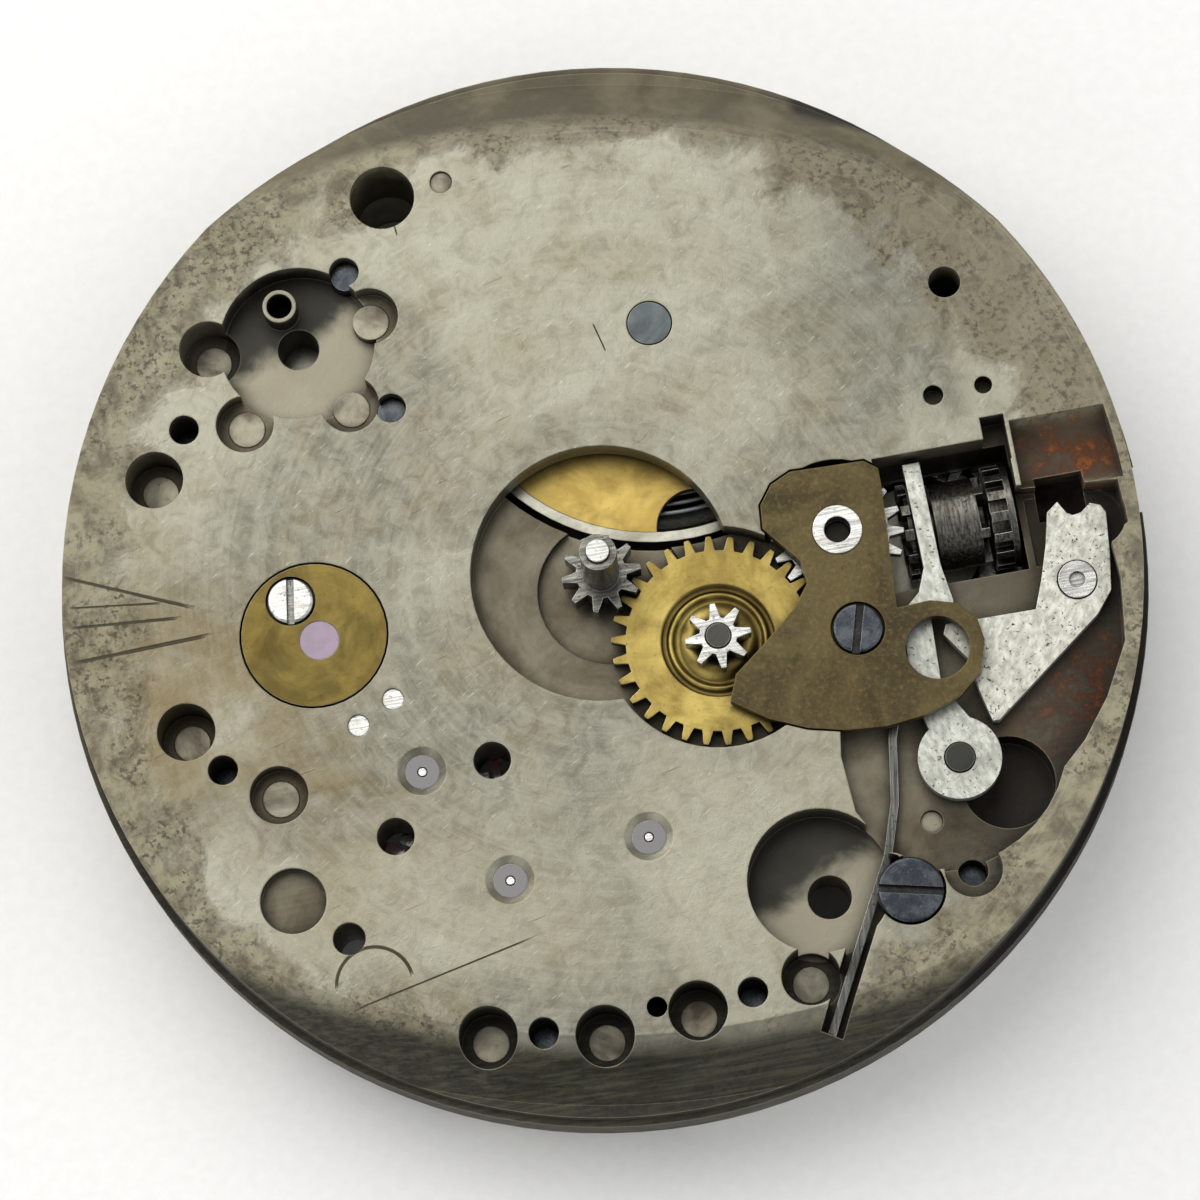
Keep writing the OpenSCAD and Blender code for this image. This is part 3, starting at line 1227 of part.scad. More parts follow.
// Balance cap and the jewels
module balance_cap_plate() color("darkkhaki") {
    difference() {
        rod(cap_at, cap_r, face_z - cap_th, face_z);
        rod(balance_at, cap_jewel_r, face_z - cap_th - 1, face_z + 1);
        rod(cap_screw_at, cap_screw_r + seat_gap, face_z - cap_th / 2, face_z + 1);
        rod(cap_screw_at, 0.26, face_z - cap_th - 1, face_z + 1);
    }
}
module cap_plate_screw() color("lightgray") {
    dial_screw(cap_screw_at, cap_screw_r, face_z - cap_th / 2, 0.24, bridge_h + 0.85, face_z + 0.06, 82);
}
module lower_cap_jewel() color("mediumvioletred") {
    rod(balance_at, cap_jewel_r, face_z - cap_th + 0.02, face_z - 0.03);
}
module hole_jewel(p, z0) {
    ring(p, jewel_r, pivot_r + pivot_fit, z0, z0 + jewel_th);
}
module plate_jewels() color("mediumvioletred") {
    for (p = [fourth_at, escape_at, pallet_at])
        hole_jewel(p, plate_jewel_z);
    hole_jewel(third_at, third_jewel_z);
    hole_jewel(balance_at, face_z - cap_th - jewel_th);
}
module bridge_jewels() color("mediumvioletred") {
    for (p = [third_at, fourth_at, escape_at])
        hole_jewel(p, bridge_jewel_z);
}

// Fixings
module bridge_screws() color("steelblue") {
    for (i = [0 : len(screws_at) - 1])
        bridge_screw(screws_at[i], screw_head_r, screw_head_h, screw_r, 0.02,
                     norm(screws_at[i]) > rim_from ? crescent_z - 0.3 : face_z - 0.45, 25 + 40 * i);
    for (p = pallet_screws_at)
        bridge_screw(p, pallet_screw_head_r, pallet_screw_head_h, pallet_screw_r,
                     bridge_h - pallet_cock_th - pallet_screw_head_h, bridge_h + 1, 40);
}
module steady_pins() color("darkkhaki") {
    for (p = steady_at)
        rod(p, steady_r, 0.6, (norm(p) > rim_from ? crescent_z + 0.4 : face_z) - steady_cb + 0.02);
    for (p = small_pins)
        rod(p, small_pin_r, 0.6, norm(p) > rim_from ? face_z - 0.08 : keyless_z - 0.1);
}
module banking_pins() color("lightgray") {
    for (p = banking_at)
        rod(p, banking_r, escape_z - 0.05, face_z - 0.05);
}

main_plate();
barrel_bridge();
fourth_cock();
escape_cock();
balance_cock();
pallet_cock();
barrel_drum();
barrel_cover();
barrel_arbor();
mainspring();
ratchet_wheel();
ratchet_screw();
crown_wheel();
crown_wheel_screw();
click();
click_screw();
click_spring();
center_wheel();
center_arbor();
third_wheel();
third_pinion();
fourth_wheel();
fourth_pinion();
escape_wheel();
escape_pinion();
pallet_fork();
pallet_arbor();
pallet_stones();
balance_wheel();
balance_screws();
balance_staff();
roller();
impulse_jewel();
hairspring();
hairspring_collet();
hairspring_stud();
regulator();
upper_cap_jewel();
cannon_pinion();
minute_wheel();
minute_pinion();
setting_wheel();
winding_pinion();
clutch_wheel();
yoke();
yoke_spring();
yoke_spring_screw();
setting_lever();
setting_lever_screw();
cover_plate();
cover_plate_screw();
cover_bush();
balance_cap_plate();
cap_plate_screw();
lower_cap_jewel();
plate_jewels();
bridge_jewels();
bridge_screws();
steady_pins();
banking_pins();
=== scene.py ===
"""A small old wrist-watch movement, dial side up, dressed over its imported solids."""

import json
import math

import bpy
from mathutils import Matrix, Vector


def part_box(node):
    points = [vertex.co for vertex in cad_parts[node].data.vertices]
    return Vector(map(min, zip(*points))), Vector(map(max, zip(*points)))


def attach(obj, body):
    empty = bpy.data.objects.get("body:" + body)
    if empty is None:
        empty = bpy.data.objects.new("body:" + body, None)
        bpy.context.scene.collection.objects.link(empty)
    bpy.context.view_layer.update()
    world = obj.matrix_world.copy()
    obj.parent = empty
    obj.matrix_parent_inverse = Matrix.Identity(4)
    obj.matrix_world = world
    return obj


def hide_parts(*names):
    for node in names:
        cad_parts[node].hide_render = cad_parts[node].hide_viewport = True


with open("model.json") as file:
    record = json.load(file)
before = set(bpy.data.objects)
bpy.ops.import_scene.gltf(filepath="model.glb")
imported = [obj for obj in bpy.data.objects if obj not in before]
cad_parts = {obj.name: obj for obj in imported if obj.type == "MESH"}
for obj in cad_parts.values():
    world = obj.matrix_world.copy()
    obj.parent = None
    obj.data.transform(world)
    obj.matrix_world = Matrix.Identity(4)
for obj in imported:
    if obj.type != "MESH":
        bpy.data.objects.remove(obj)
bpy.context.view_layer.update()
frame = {"nodes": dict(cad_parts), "record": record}

MM = 0.001
FACE = 4.8  # height of the smooth dial-side face above the floor, in mm


def link(name, data):
    """A new object of the scene."""
    made = bpy.data.objects.new(name, data)
    bpy.context.scene.collection.objects.link(made)
    return made


# The shader bench


class Reading:
    """A value out of a node, which takes part in sums as a plain number does."""

    def __init__(self, recipe, socket):
        self.recipe = recipe
        self.socket = socket

    def __add__(self, other):
        return self.recipe.maths("ADD", self, other)

    def __radd__(self, other):
        return self.recipe.maths("ADD", other, self)

    def __sub__(self, other):
        return self.recipe.maths("SUBTRACT", self, other)

    def __rsub__(self, other):
        return self.recipe.maths("SUBTRACT", other, self)

    def __mul__(self, other):
        return self.recipe.maths("MULTIPLY", self, other)

    def __rmul__(self, other):
        return self.recipe.maths("MULTIPLY", other, self)

    def __truediv__(self, other):
        return self.recipe.maths("DIVIDE", self, other)

    def __rtruediv__(self, other):
        return self.recipe.maths("DIVIDE", other, self)

    def __neg__(self):
        return self.recipe.maths("MULTIPLY", self, -1.0)


class Nodes:
    """A node tree, and the sums and vectors that finishes, patterns and the sky are made of."""

    def __init__(self, tree):
        self.tree = tree

    def node(self, kind, settings=None, inputs=None, out=0):
        made = self.tree.nodes.new(kind)
        for key, value in (settings or {}).items():
            if key == "stops":
                ramp = made.color_ramp
                while len(ramp.elements) < len(value):
                    ramp.elements.new(0.5)
                for element, (spot, colour) in zip(ramp.elements, value):
                    element.position = spot
                    element.color = colour
            else:
                setattr(made, key, value)
        for key, value in (inputs or {}).items():
            socket = made.inputs[key]
            if isinstance(value, Reading):
                self.tree.links.new(value.socket, socket)
            elif isinstance(value, list):
                for one in value:
                    self.tree.links.new(one.socket, socket)
            else:
                socket.default_value = value
        return Reading(self, made.outputs[out])

    def maths(self, operation, *values):
        return self.node("ShaderNodeMath", {"operation": operation}, dict(enumerate(values)))

    def low(self, value, other):
        return self.maths("MINIMUM", value, other)

    def high(self, value, other):
        return self.maths("MAXIMUM", value, other)

    def size(self, value):
        return self.maths("ABSOLUTE", value)

    def parts(self, vector):
        made = self.tree.nodes.new("ShaderNodeSeparateXYZ")
        self.tree.links.new(vector.socket, made.inputs[0])
        return [Reading(self, made.outputs[i]) for i in range(3)]

    def vector(self, x, y, z):
        return self.node("ShaderNodeCombineXYZ", None, {0: x, 1: y, 2: z})

    def vectors(self, operation, *values, out=0):
        return self.node(
            "ShaderNodeVectorMath", {"operation": operation}, dict(enumerate(values)), out
        )

    def close(self, kind, whole):
        """Links what the tree has made to its output node."""
        self.tree.links.new(whole.socket, self.tree.nodes.new(kind).inputs[0])


class Recipe(Nodes):
    """The nodes of one finish, measured in millimetres on the piece's own coordinates."""

    def __init__(self, name):
        self.material = bpy.data.materials.new(name)
        self.material.use_nodes = True
        super().__init__(self.material.node_tree)
        self.tree.nodes.clear()
        place = self.node("ShaderNodeTexCoord", out="Object")
        self.at = self.node(
            "ShaderNodeVectorMath", {"operation": "SCALE"}, {0: place, "Scale": 1000.0}
        )
        self.x, self.y, self.z = self.parts(self.at)

    def rise(self, value, start, end):
        """0 below start, 1 above end, and smooth between them; falls where end is lower."""
        if end < start:
            return 1.0 - self.rise(value, end, start)
        return self.node(
            "ShaderNodeMapRange",
            {"interpolation_type": "SMOOTHSTEP"},
            {"Value": value, "From Min": start, "From Max": end},
        )

    def noise(self, scale, detail, rough, place=None, warp=0.0, shift=None):
        """Cloudy values near 0.5; scale is in waves for each millimetre."""
        where = place or self.at
        if shift:
            where = self.vectors("ADD", where, shift)
        return self.node(
            "ShaderNodeTexNoise",
            {"noise_dimensions": "3D"},
            {
                "Vector": where,
                "Scale": scale,
                "Detail": detail,
                "Roughness": rough,
                "Distortion": warp,
            },
        )

    def mix(self, factor, a, b):
        """Colour a where the factor is 0, colour b where it is 1."""
        return self.node(
            "ShaderNodeMix",
            {"data_type": "RGBA", "clamp_factor": True},
            {0: factor, 6: a, 7: b},
            out=2,
        )

    def far(self, centre):
        """Distance from an upright axis, in mm."""
        away = self.vector(self.x - centre[0], self.y - centre[1], 0.0)
        return self.vectors("LENGTH", away, out="Value")

    def disc(self, centre, radius, soft):
        """1 near an upright axis and 0 far from it, fading across the radius."""
        return self.rise(self.far(centre), radius + soft, radius - soft)

    def stroke(self, a, b, width):
        """1 along a straight scratch from a to b, fading at its sides and its ends."""
        run = Vector(b) - Vector(a)
        length = run.length
        along = run / length
        u = (self.x - a[0]) * along.x + (self.y - a[1]) * along.y
        v = (self.x - a[0]) * -along.y + (self.y - a[1]) * along.x
        side = self.rise(self.size(v), width, width * 0.3)
        ends = self.rise(self.size(u - length / 2), length / 2, length * 0.38)
        return side * ends

    def rings(self, centre, fine, swirl, detail):
        """Turning or circular brushing marks round an upright axis."""
        away = self.vector(self.x - centre[0], self.y - centre[1], 0.0)
        r = self.vectors("LENGTH", away, out="Value")
        heading = self.vectors("NORMALIZE", away)
        hx, hy, _ = self.parts(heading)
        place = self.vector(r * fine, hx * swirl, hy * swirl)
        return self.noise(1.0, detail, 0.6, place)

    def grain(self, heading, fine, long):
        """Straight brushing marks that run along the heading, in degrees."""
        c, s = math.cos(math.radians(heading)), math.sin(math.radians(heading))
        along = self.x * c + self.y * s
        across = self.y * c - self.x * s
        return self.noise(1.0, 4.0, 0.6, self.vector(along * long, across * fine, self.z * fine))

    def edge_wear_and_glint(self, radius):
        """1 on sharp edges and 0 on flats, and the softened normal that shows them."""
        soft = self.node("ShaderNodeBevel", {"samples": 6}, {"Radius": radius * MM})
        true = self.node("ShaderNodeNewGeometry", out="Normal")
        same = self.vectors("DOT_PRODUCT", soft, true, out="Value")
        return self.rise(same, 0.995, 0.86), soft

    def dirt_and_shade(self, colour, reach=0.5, strength=0.8):
        """Old dirt, and painted shade, in corners, round seats and at the foot of steps."""
        # painted shade, with dirt: darker where ambient occlusion finds nearby surfaces closing round
        # the point
        open_air = self.node(
            "ShaderNodeAmbientOcclusion", {"samples": 8}, {"Distance": reach * MM}, out="AO"
        )
        uneven = self.noise(2.1, 4.0, 0.6, shift=(4.4, 6.1, 2.2)) * 0.5 + 0.75
        return self.mix(self.rise(open_air, 0.93, 0.30) * uneven * strength, colour, DIRT_AND_SHADE)

    def bump(self, height, depth, normal=None):
        """A bumpy surface; depth is how far a height of 1 stands out, in mm."""
        inputs = {"Strength": 1.0, "Distance": depth * MM, "Height": height}
        if normal is not None:
            inputs["Normal"] = normal
        return self.node("ShaderNodeBump", None, inputs)

    def skin(self, colour, rough, metal, normal, **plain):
        """Closes the finish. The plain numbers are set on the shader's own sockets."""
        inputs = {"Base Color": colour, "Roughness": rough, "Metallic": metal, "Normal": normal}
        for name, value in plain.items():
            inputs[name.replace("_", " ")] = value
        shader = self.node("ShaderNodeBsdfPrincipled", None, inputs)
        self.close("ShaderNodeOutputMaterial", shader)
        return self.material


class Pattern(Nodes):
    """A Geometry Nodes tree with named sizes in millimetres, which forms one piece."""

    def __init__(self, name):
        super().__init__(bpy.data.node_groups.new(name, "GeometryNodeTree"))
        self.name = name
        self.tree.interface.new_socket("Places", in_out="INPUT", socket_type="NodeSocketGeometry")
        self.tree.interface.new_socket("Piece", in_out="OUTPUT", socket_type="NodeSocketGeometry")
        self.entry = self.tree.nodes.new("NodeGroupInput")
        self.places = Reading(self, self.entry.outputs["Places"])
        self.values = {}

    def given(self, name, value):
        """A named size or count of the pattern."""
        kind = "NodeSocketInt" if isinstance(value, int) else "NodeSocketFloat"
        made = self.tree.interface.new_socket(name, in_out="INPUT", socket_type=kind)
        self.values[made.identifier] = value
        return Reading(self, self.entry.outputs[name])

    def attribute(self, name, kind):
        return self.node("GeometryNodeInputNamedAttribute", {"data_type": kind}, {"Name": name})

    def circle(self, facets, radius):
        return self.node(
            "GeometryNodeCurvePrimitiveCircle",
            {"mode": "RADIUS"},
            {"Resolution": facets, "Radius": radius},
        )

    def joined(self, *pieces):
        return self.node("GeometryNodeJoinGeometry", None, {0: list(pieces)})

    def moved(self, piece, shift=(0.0, 0.0, 0.0), turn=(0.0, 0.0, 0.0)):
        return self.node(
            "GeometryNodeTransform", None, {0: piece, "Translation": shift, "Rotation": turn}
        )

    def form(self, piece, points, finish, node, turns=None, reach=None, chain=False):
        """Ends the tree, makes the plain mesh in metres and lets it stand for the CAD node."""
        whole = self.node("GeometryNodeTransform", None, {0: piece, "Scale": (MM, MM, MM)})
        whole = self.node("GeometryNodeRealizeInstances", None, {0: whole})
        whole = self.node("GeometryNodeSetMaterial", None, {0: whole, "Material": FINISH[finish]})
        self.close("NodeGroupOutput", whole)
        mesh = bpy.data.meshes.new(self.name)
        edges = [(i, i + 1) for i in range(len(points) - 1)] if chain else []
        mesh.from_pydata(points, edges, [])
        if turns:
            mesh.attributes.new("turn", "FLOAT_VECTOR", "POINT")
            mesh.attributes.new("reach", "FLOAT", "POINT")
            for i, (turn, length) in enumerate(zip(turns, reach)):
                mesh.attributes["turn"].data[i].vector = turn
                mesh.attributes["reach"].data[i].value = length
        seed = link(self.name + "_places", mesh)
        pattern = seed.modifiers.new("pattern", "NODES")
        pattern.node_group = self.tree
        for identifier, value in self.values.items():
            pattern[identifier] = value
        ready = seed.evaluated_get(bpy.context.evaluated_depsgraph_get())
        made = bpy.data.meshes.new_from_object(ready)
        seed.modifiers.remove(pattern)
        bpy.data.objects.remove(seed)
        done = link(self.name, made)
        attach(done, BODY_OF[node])
        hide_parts(node)


def paint(red, green, blue):
    """A colour read as it looks on a screen, 0 to 255, made linear."""

    def linear(value):
        value = value / 255.0
        return value / 12.92 if value <= 0.04045 else ((value + 0.055) / 1.055) ** 2.4

    return (linear(red), linear(green), linear(blue), 1.0)


DIRT_AND_SHADE = (0.012, 0.010, 0.006, 1.0)  # already linear; the near black of dirt and painted shade in hollows
TARNISH = paint(84, 66, 34)


# Where things are, in mm

MIDDLE = (0.0, 0.0)
BARREL = (2.28, 6.04)
THIRD = (2.76, -3.74)
FOURTH = (0.0, -6.7)
BALANCE = (-7.1, -0.42)
CROWN = (8.0, 0.0)
SETTING = (5.9, 0.0)
MINUTE = (2.54, -2.10)
YOKE = (7.82, -6.04)
CAP_PLATE = (-7.21, -0.27)
POCKETS = (  # centre and radius of the two deep round pockets
    ((-6.42, 7.15), 1.94),
    ((3.89, -8.51), 1.77),
)
POSTS = (  # centre and radius of the posts that carry the wheels and the yoke
    (MINUTE, 0.3),
    (YOKE, 0.42),
    (SETTING, 0.34),
)
SCRATCHES = (  # start, end and half width of the tool marks on the plate
    ((-13.2, 2.35), (-9.9, 0.9), 0.05),
    ((-13.2, 1.0), (-10.3, 0.75), 0.045),
    ((-13.3, 0.1), (-9.6, 0.2), 0.06),
    ((-13.1, 1.5), (-10.7, 1.2), 0.03),
    ((-3.6, 10.3), (-3.5, 9.4), 0.02),
    ((0.9, 6.3), (1.1, 5.5), 0.02),
    ((-8.6, -9.8), (-3.0, -8.6), 0.025),
)
CURVED_MARK = (-7.16, -9.10)  # middle of the curved tool mark


# Finishes


def plate_finish():
    """Silvered brass, circular brushed, stained, corroded at its rim and rusty by the stem."""
    f = Recipe("plate_silvering")
    r = f.far(MIDDLE)
    soft = f.noise(0.16, 3.0, 0.5, warp=0.6)
    cloud = f.noise(0.55, 6.0, 0.6, warp=0.4)
    speck = f.noise(6.0, 5.0, 0.65)
    fine = f.noise(24.0, 3.0, 0.6)
    brushed = f.rings(MIDDLE, 9.0, 1.6, 5.0)
    lapped = f.rings((-1.5, 2.0), 2.4, 2.6, 4.0)

    grey = f.mix(f.rise(soft, 0.38, 0.62), paint(108, 106, 94), paint(144, 142, 126))
    grey = f.mix(f.rise(cloud, 0.42, 0.72) * 0.55, grey, paint(128, 118, 90))
    mottle = f.noise(1.9, 8.0, 0.68, warp=0.7, shift=(1.0, 4.0, 2.0))
    grey = f.mix(f.rise(mottle, 0.36, 0.66) * 0.34, grey, paint(166, 164, 148))
    grey = f.mix(f.rise(mottle, 0.52, 0.30) * 0.24, grey, paint(84, 80, 66))
    grey = f.mix(f.rise(brushed, 0.40, 0.7) * 0.2, grey, paint(164, 163, 149))
    nick = f.noise(1.0, 3.0, 0.6, f.vector(f.x * 2.2 + f.y * 1.4, f.y * 13.0 - f.x * 8.0, 0.0))
    grey = f.mix(f.rise(nick, 0.63, 0.70) * 0.35, grey, paint(196, 194, 178))
    lit_side = f.rise(f.y, -4.0, -8.5) * f.rise(r, 11.5, 9.0)
    grey = f.mix(lit_side * 0.25, grey, paint(172, 168, 148))
    grey = f.mix(f.rise(speck, 0.64, 0.78) * 0.35, grey, paint(86, 79, 60))
    yellow = f.high(f.disc((-10.6, -1.5), 2.6, 2.8), f.disc((-7.2, -4.6), 1.6, 2.0) * 0.8)
    grey = f.mix(yellow * 0.7 * f.rise(cloud, 0.25, 0.6), grey, paint(106, 88, 50))
    cool = f.disc((8.2, 6.8), 2.2, 2.4) * f.rise(cloud, 0.3, 0.6)
    grey = f.mix(cool * 0.45, grey, paint(96, 97, 92))

    # the corroded, yellowish rim in broad patches, strongest at the upper right
    heading = f.x * 0.62 + f.y * 0.78
    broad = f.noise(0.42, 4.0, 0.6, warp=0.8, shift=(3.1, 8.2, 1.4))
    ragged = r + (broad - 0.5) * 4.2 + (cloud - 0.5) * 1.6 + (speck - 0.5) * 0.7
    ring = f.rise(ragged + heading * 0.06, 11.3, 12.1)
    crust = f.noise(1.5, 9.0, 0.74, warp=0.5)
    fleck = f.noise(5.5, 6.0, 0.7, shift=(5.0, 2.0, 9.0))
    scored = f.rings(MIDDLE, 7.0, 0.9, 4.0)
    old = f.mix(f.rise(crust, 0.36, 0.62), paint(84, 74, 52), paint(152, 144, 116))
    old = f.mix(f.rise(fleck, 0.50, 0.60) * f.rise(broad, 0.42, 0.56), old, paint(56, 44, 28))
    upper_right = f.rise(heading, 6.5, 10.5) * f.rise(crust, 0.48, 0.58)
    old = f.mix(upper_right * 0.6, old, paint(74, 58, 34))
    old = f.mix(f.rise(scored, 0.55, 0.75) * 0.5, old, paint(166, 161, 140))
    colour = f.mix(ring * 0.72, grey, old)
    top = f.rise(f.z, FACE - 0.3, FACE - 0.05)

    # the two sunk crescents: the upper one grey-brown, the lower one painted near black as shade, with
    # milled lines
    low = f.rise(f.z, FACE - 0.05, FACE - 0.5)
    milled = f.grain(0.0, 9.0, 0.35)
    crescent_tone_and_shade = f.mix(f.rise(cloud, 0.4, 0.65), paint(84, 78, 62), paint(114, 107, 86))
    milled_and_shaded = f.mix(f.rise(milled, 0.4, 0.66), paint(22, 22, 16), paint(60, 59, 44))
    # painted shade: the crescent darkens towards the bottom, where its slope turns away from the light
    crescent_tone_and_shade = f.mix(f.rise(f.y, 2.0, -6.0), crescent_tone_and_shade, milled_and_shaded)
    colour = f.mix(low * f.rise(r, 9.0, 10.6) * 0.9, colour, crescent_tone_and_shade)

    # pockets are cleaner turned metal, painted darker than the face as shade for their depth, browner
    # in clouds
    pocket_tone_and_shade = low * f.rise(r, 12.4, 11.6) * f.rise(f.size(f.y), 9.9, 9.3)
    turned = f.mix(f.rise(cloud, 0.35, 0.7), paint(116, 108, 90), paint(74, 62, 48))
    colour = f.mix(pocket_tone_and_shade * 0.7, colour, turned)

    # the two big pockets: painted reflection, dark above and bright below
    for spot, size in POCKETS:
        inside = f.disc(spot, size, 0.02) * low
        slant = (f.y - spot[1]) * 0.9 - (f.x - spot[0]) * 0.35 + (cloud - 0.5) * 1.4
        pocket_reflection = f.mix(f.rise(slant, -0.1, 0.5), paint(150, 144, 126), paint(42, 43, 40))
        colour = f.mix(inside * 0.9, colour, pocket_reflection)

    # rust by the stem and on the floor right of the winding works, and painted shade in the stem's bed
    rusty = f.noise(2.2, 6.0, 0.7, shift=(7.3, 1.9, 4.4))
    near_stem = f.high(f.disc((11.6, -5.0), 1.7, 1.5), f.disc((12.1, 0.9), 1.3, 1.2))
    rust = near_stem * low * f.rise(rusty, 0.36, 0.56)
    # painted shade: the stem's bed darkened where its deep trough lies in shadow
    stem_bed_shade = f.disc((11.8, 0.6), 1.9, 0.5) * low
    colour = f.mix(stem_bed_shade * 0.75, colour, paint(64, 50, 38))
    colour = f.mix(rust, colour, f.mix(f.rise(rusty, 0.5, 0.7), paint(74, 42, 20), paint(138, 78, 30)))

    # the pits behind the winding works are painted black as shade, and the posts that carry the wheels
    # are dark
    # painted shade: everything sunk deep behind the winding works turns near black
    pit = low * f.rise(f.z, 4.0, 3.7) * f.rise(f.x, 6.6, 7.0)
    colour = f.mix(pit * 0.85, colour, paint(26, 22, 18))
    for spot, size in POSTS:
        colour = f.mix(f.disc(spot, size, 0.03) * 0.9, colour, paint(50, 52, 50))

    # tool marks and scratches
    marks = f.stroke(*SCRATCHES[0])
    for scratch in SCRATCHES[1:]:
        marks = f.high(marks, f.stroke(*scratch))
    arc = f.far(CURVED_MARK)
    marks = f.high(marks, f.rise(f.size(arc - 0.93), 0.05, 0.015) * f.rise(f.y, -9.1, -8.9))
    hair = f.noise(1.0, 2.0, 0.5, f.vector(f.x * 0.7 + f.y * 0.2, f.y * 16.0 - f.x * 4.0, 0.0))
    scuffs = f.rise(hair, 0.70, 0.75) * f.rise(cloud, 0.5, 0.65) * top
    colour = f.mix(f.high(marks * top, scuffs * 0.3), colour, paint(64, 58, 44))

    edge, rounded = f.edge_wear_and_glint(0.05)
    # worn edges with a painted highlight: the plate's sharp edges painted lighter
    colour = f.mix(edge * 0.45, colour, paint(184, 178, 156))

    colour = f.dirt_and_shade(colour, 0.6, 0.85)
    height = brushed * 0.05 + lapped * 0.05 + mottle * 0.55 + speck * 0.3 + fine * 0.12
    height = height + (crust * 1.0 + fleck * 0.6) * ring - marks * top * 1.5 - scuffs * 0.4
    normal = f.bump(height, 0.018, rounded)
    rough = 0.42 + (cloud - 0.5) * 0.25 + ring * 0.2 + low * 0.08 + rust * 0.3
    metal = 0.85 - ring * 0.45 - rust * 0.7
    return f.skin(colour, rough, metal, normal, Specular_IOR_Level=0.5)


def turned_metal(name, centre, dark, light, rough, stain, fine=14.0, old=TARNISH, grooves=None):
    """Metal turned round an upright axis, with faint tool rings, dulled in clouds.

    grooves is the radius and half width of a dark band, which a ridge splits in two.
    """
    f = Recipe(name)
    rings = f.rings(centre, fine, 0.5, 4.0)
    cloud = f.noise(0.9, 6.0, 0.6, warp=0.4)
    speck = f.noise(9.0, 4.0, 0.65)
    broad = f.noise(0.7, 5.0, 0.62, warp=0.8, shift=(9.0, 1.0, 5.0))
    colour = f.mix(rings * 0.35 + f.rise(broad, 0.35, 0.65) * 0.65, dark, light)
    colour = f.mix(f.rise(cloud, 0.42, 0.72) * stain, colour, old)
    colour = f.mix(f.rise(speck, 0.60, 0.72) * 0.8 * stain, colour, paint(50, 40, 22))
    edge, rounded = f.edge_wear_and_glint(0.035)
    # worn edges with a painted highlight: sharp edges lightened towards near white
    colour = f.mix(edge * 0.5, colour, f.mix(0.5, light, paint(255, 250, 232)))
    colour = f.dirt_and_shade(colour)
    height = rings * 0.35 + speck * 0.5
    if grooves:
        middle, half = grooves
        r = f.far(centre)
        sunk = f.rise(f.size(r - middle), half, half * 0.75)
        ridge = f.rise(f.size(r - middle * 0.98), 0.09, 0.05)
        sunk = sunk * (1.0 - ridge)
        colour = f.mix(sunk * 0.55, colour, paint(66, 52, 24))
    normal = f.bump(height, 0.006, rounded)
    return f.skin(colour, rough + (cloud - 0.5) * 0.3, 0.95, normal)


def grained_steel(name, dark, light, heading, rough, pits, fine=16.0, metal=0.95, long=0.8):
    """Flat steel with straight brushing, pits and soft stains."""
    f = Recipe(name)
    lines = f.grain(heading, fine, long)
    cloud = f.noise(1.3, 5.0, 0.6, warp=0.5)
    pit = f.noise(11.0, 5.0, 0.7)
    colour = f.mix(f.rise(lines, 0.3, 0.7), dark, light)
    colour = f.mix(f.rise(cloud, 0.45, 0.7) * 0.45, colour, f.mix(0.5, dark, paint(70, 58, 44)))
    holes = f.rise(pit, 0.60, 0.68) * pits
    colour = f.mix(holes, colour, paint(44, 38, 32))
    edge, rounded = f.edge_wear_and_glint(0.03)
    # worn edges with a painted highlight: sharp edges lightened towards near white
    colour = f.mix(edge * 0.6, colour, paint(232, 232, 226))
    colour = f.dirt_and_shade(colour, 0.4, 0.8)
    height = lines * 0.5 + cloud * 0.2 - holes * 1.2
    normal = f.bump(height, 0.012, rounded)
    return f.skin(colour, rough + (cloud - 0.5) * 0.25 + holes * 0.3, metal, normal)


def blued_steel(name, base, tint):
    """Heat-blued steel, worn grey at its edges and in specks."""
    f = Recipe(name)
    cloud = f.noise(2.4, 5.0, 0.6, warp=0.4)
    speck = f.noise(14.0, 4.0, 0.65)
    colour = f.mix(f.rise(cloud, 0.4, 0.65), base, tint)
    edge, rounded = f.edge_wear_and_glint(0.03)
    colour = f.mix(f.high(edge, f.rise(speck, 0.64, 0.72) * 0.5), colour, paint(150, 152, 148))
    colour = f.dirt_and_shade(colour, 0.3, 0.95)
    normal = f.bump(cloud * 0.4 + speck * 0.4, 0.006, rounded)
    return f.skin(colour, 0.28 + (speck - 0.5) * 0.3, 0.95, normal)


def cover_finish():
    """The minute-works cover: bronze-brown brass, worn yellow at its edges."""
    f = Recipe("cover_bronze")
    lines = f.noise(9.0, 6.0, 0.7, shift=(2.0, 7.0, 3.0))
    cloud = f.noise(0.5, 6.0, 0.62, warp=0.8)
    speck = f.noise(7.0, 6.0, 0.7)
    colour = f.mix(f.rise(cloud, 0.36, 0.66), paint(86, 76, 48), paint(58, 51, 33))
    colour = f.mix(f.rise(lines, 0.45, 0.75) * 0.3, colour, paint(142, 120, 70))
    colour = f.mix(f.rise(speck, 0.58, 0.7) * 0.6, colour, paint(54, 42, 24))
    edge, rounded = f.edge_wear_and_glint(0.05)
    colour = f.mix(edge * 0.5, colour, paint(158, 134, 80))
    colour = f.dirt_and_shade(colour, 0.5, 0.7)
    normal = f.bump(lines * 0.4 + speck * 0.5, 0.01, rounded)
    return f.skin(colour, 0.44 + (cloud - 0.5) * 0.3, 0.8, normal)


def jewel_finish(name, colour):
    """A polished jewel, cloudy within, with a painted highlight at its rim."""
    f = Recipe(name)
    cloud = f.noise(3.0, 3.0, 0.5)
    edge, rounded = f.edge_wear_and_glint(0.03)
    tone = f.mix(f.rise(cloud, 0.4, 0.6), colour, f.mix(0.25, colour, paint(20, 8, 20)))
    # painted highlight: the rim lightened towards pale pink
    tone = f.mix(edge * 0.5, tone, paint(220, 196, 220))
    return f.skin(tone, 0.08, 0.0, rounded, IOR=1.76, Coat_Weight=0.6, Coat_Roughness=0.04)


